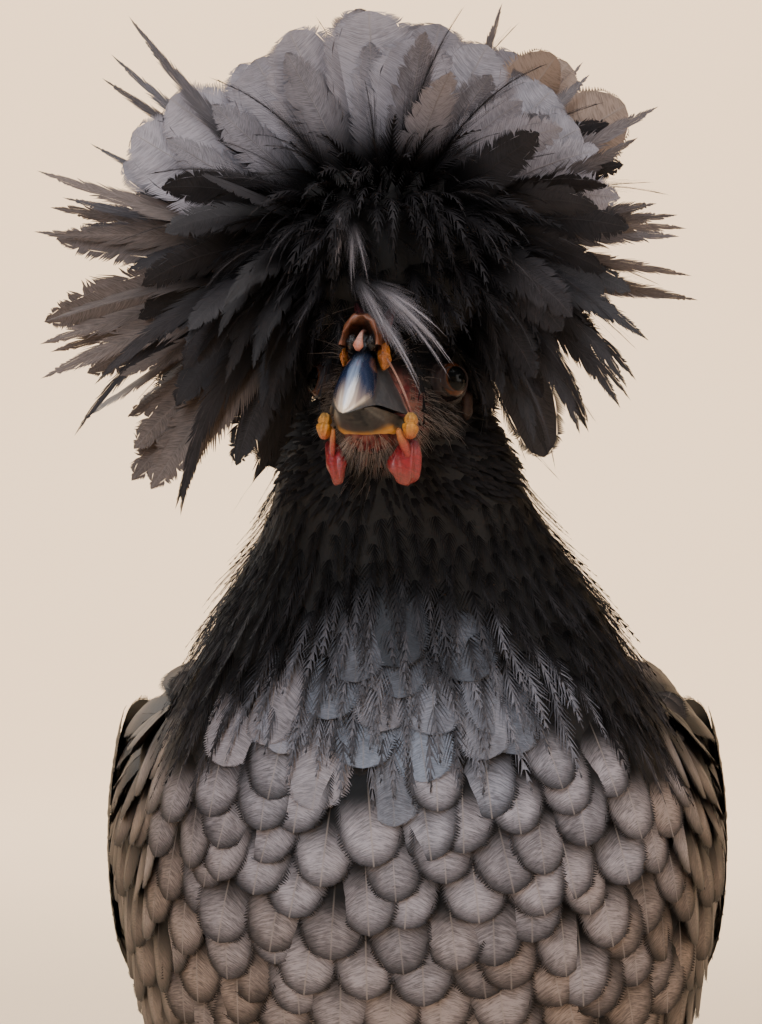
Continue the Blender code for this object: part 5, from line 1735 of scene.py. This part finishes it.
class HEN_OT_crest(bpy.types.Operator):
    """Builds the loose crest, group by group"""

    bl_idname = "hen.crest"
    bl_label = "Crest"

    def execute(self, context):
        ground, _, kinds = workshop(context)
        draw = random.Random(context.scene.hen_sizes.crest_seed)
        names = ("fan", "left", "right", "front", "back", "wisps", "forelock")
        coats = {name: Coat(kinds, ground, 51) for name in names}
        for name, number, clocks, leans, lengths, half, droops, start, kind, face_name, look in CREST_GROUPS:
            for k in range(number):
                share, loose = k / (number - 1), 4 if name == "fan" else 9
                clock = radians(clocks[0] + (clocks[1] - clocks[0]) * share + draw.uniform(-loose, loose))
                lean = radians(leans[0] + (leans[1] - leans[0]) * (k * 0.618 % 1))
                droop = radians(droops[0] + (droops[1] - droops[0]) * (k * 0.382 % 1))
                way = Vector((sin(clock) * cos(lean), sin(lean), cos(clock) * cos(lean)))
                root = plan(CREST_AT + Vector([w * c for w, c in zip(way, CREST_CORE)]) * start)
                face = square_to(FACES[face_name], way)
                face = Matrix.Rotation(radians(15) + draw.uniform(-0.09, 0.09) * loose, 3, way) @ face
                fall = square_to(Vector((0.1 * way.x, 0.1 * way.y, -1)), way)
                length = (lengths[0] + (lengths[1] - lengths[0]) * share) * draw.uniform(0.88, 1.04) * MM
                wide = half * draw.uniform(0.85, 1.1) * MM
                shade = (look[0] * draw.uniform(0.75, 1.15), look[1])
                twist = draw.uniform(-0.35, 0.35)
                coats[name].add(kind, root, way, fall, droop, face, length, wide, shade, twist)
        self.fluff(coats["front"], ground, draw)
        self.forelock(coats["forelock"], draw)
        bare = [(HEAD @ Vector((0, -0.040, 0.002)), 14 * MM)]
        for side in SIDES.values():
            before_eye = mirrored(EYE_AT, side) + mirrored(EYE_AXIS, side) * 9
            bare.append((HEAD @ (before_eye * MM), 8.5 * MM))
        for name, coat in coats.items():
            replaced = ("crest",) if name == "fan" else ()
            finish = WORK["down" if name in ("front", "wisps", "forelock") else "crest"]
            coat.grow("crest_" + name, finish, replaced, clear_of_body, () if name == "forelock" else bare)
        return {"FINISHED"}

    def fluff(self, coat, ground, draw):
        """Short dark feathers all over the crest's core."""
        for place, normal, _ in ground.scatter(3.4 * MM, in_crest, 7, 2):
            away = place - plan(CREST_AT)
            if away.z > 3 * MM and away.y < 4 * MM:
                continue
            way = (normal + stray(draw, 0.45)).normalized()
            fall = square_to(Vector((0, 0, -1)), way)
            face = square_to(Vector((draw.uniform(-0.6, 0.6), -1, 0.4)), way)
            length, light = draw.uniform(13, 28) * MM, draw.uniform(0.0, 0.08)
            bend, half = radians(draw.uniform(25, 95)), draw.uniform(2.0, 3.4) * MM
            root, twist = place - normal * 3 * MM, draw.uniform(-1, 1)
            coat.add("neck", root, way, fall, bend, face, length, half, (light, 0.45), twist)

    def forelock(self, coat, draw):
        """The loose tuft that hangs over the left of the beak, its black plumes painted pale as highlights."""
        for root, tip, bend, half, light in FORELOCK:
            for _ in range(3):
                start = plan(root) + stray(draw, 0.8) * MM
                chord = plan(tip) + stray(draw, 2) * MM - start
                along, half_bend = chord.normalized(), radians(bend) / 2
                fall, face = (square_to(Vector(to), along) for to in ((0.1, 0, -1), (0, -1, 0.4)))
                way = along * cos(half_bend) - fall * sin(half_bend)
                side = along * sin(half_bend) + fall * cos(half_bend)
                length, look = chord.length * half_bend / sin(half_bend), (light, 0.35)
                twist = draw.uniform(-0.5, 0.5)
                coat.add("plume", start, way, side, 2 * half_bend, face, length, half * MM, look, twist)


class HEN_OT_stage(bpy.types.Operator):
    """Sets the pale floor and backdrop, the lights and the camera"""

    bl_idname = "hen.stage"
    bl_label = "Stage"

    def execute(self, context):
        scene = context.scene
        colours = scene.hen_colours
        bm = bmesh.new()
        turns = np.linspace(0, 2 * pi, 48, endpoint=False)
        rows = [[Vector((r * cos(a), r * sin(a), z)) for a in turns] for r, z in FLOOR_OUTLINE]
        lay_grid(bm, rows, caps=False)
        mesh = as_mesh("floor", bm)
        floor = bpy.data.objects.new("floor", mesh)
        mesh.materials.append(stage_finish(colours))
        mesh.shade_smooth()
        rounded = floor.modifiers.new("Round", "SUBSURF")
        rounded.levels = rounded.render_levels = 3
        scene.collection.objects.link(floor)
        world = bpy.data.worlds.new("studio")
        scene.world = world
        world.use_nodes = True
        background = world.node_tree.nodes["Background"]
        background.inputs["Color"].default_value = WORLD_COLOUR
        background.inputs["Strength"].default_value = WORLD_STRENGTH
        for name, place, target, wide, tall, power, tint in LAMPS:
            lamp = bpy.data.lights.new(name, "AREA")
            lamp.shape = "RECTANGLE"
            lamp.energy, lamp.size, lamp.size_y, lamp.color = power, wide, tall, tint
            holder = bpy.data.objects.new(name, lamp)
            holder.location = place
            aim = Vector(target) - Vector(place)
            holder.rotation_euler = aim.to_track_quat("-Z", "Y").to_euler()
            scene.collection.objects.link(holder)
        camera = bpy.data.cameras.new("camera")
        camera.sensor_width, camera.lens = SENSOR, FOCAL_LENGTH / PICTURE_HEIGHT * SENSOR
        holder = bpy.data.objects.new("camera", camera)
        holder.location = plan(CAMERA_AT)
        holder.rotation_euler = (radians(90), 0, 0)
        scene.collection.objects.link(holder)
        scene.camera = holder
        return {"FINISHED"}


class HEN_PT_panel(bpy.types.Panel):
    """Lists the steps in the sidebar"""

    bl_label = "Black crested hen"
    bl_idname = "HEN_PT_panel"
    bl_space_type = "VIEW_3D"
    bl_region_type = "UI"
    bl_category = "Hen"

    def draw(self, context):
        for group in (context.scene.hen_sizes, context.scene.hen_colours):
            for name in group.__annotations__:
                self.layout.prop(group, name)
        for step in STEPS:
            self.layout.operator(step.bl_idname)


STEPS = (
    HEN_OT_stage,
    HEN_OT_skin,
    HEN_OT_eyes,
    HEN_OT_beak,
    HEN_OT_nostrils,
    HEN_OT_face,
    HEN_OT_legs,
    HEN_OT_body_feathers,
    HEN_OT_neck_feathers,
    HEN_OT_bristles,
    HEN_OT_wings,
    HEN_OT_tail,
    HEN_OT_crest,
)
CLASSES = (HenSizes, HenColours, *STEPS, HEN_PT_panel)


def register():
    for one in CLASSES:
        bpy.utils.register_class(one)
    bpy.types.Scene.hen_sizes = bpy.props.PointerProperty(type=HenSizes)
    bpy.types.Scene.hen_colours = bpy.props.PointerProperty(type=HenColours)


def unregister():
    del bpy.types.Scene.hen_colours
    del bpy.types.Scene.hen_sizes
    for one in reversed(CLASSES):
        bpy.utils.unregister_class(one)


def main():
    register()
    for step in STEPS:
        group, name = step.bl_idname.split(".")
        getattr(getattr(bpy.ops, group), name)()


if __name__ == "__main__":
    main()
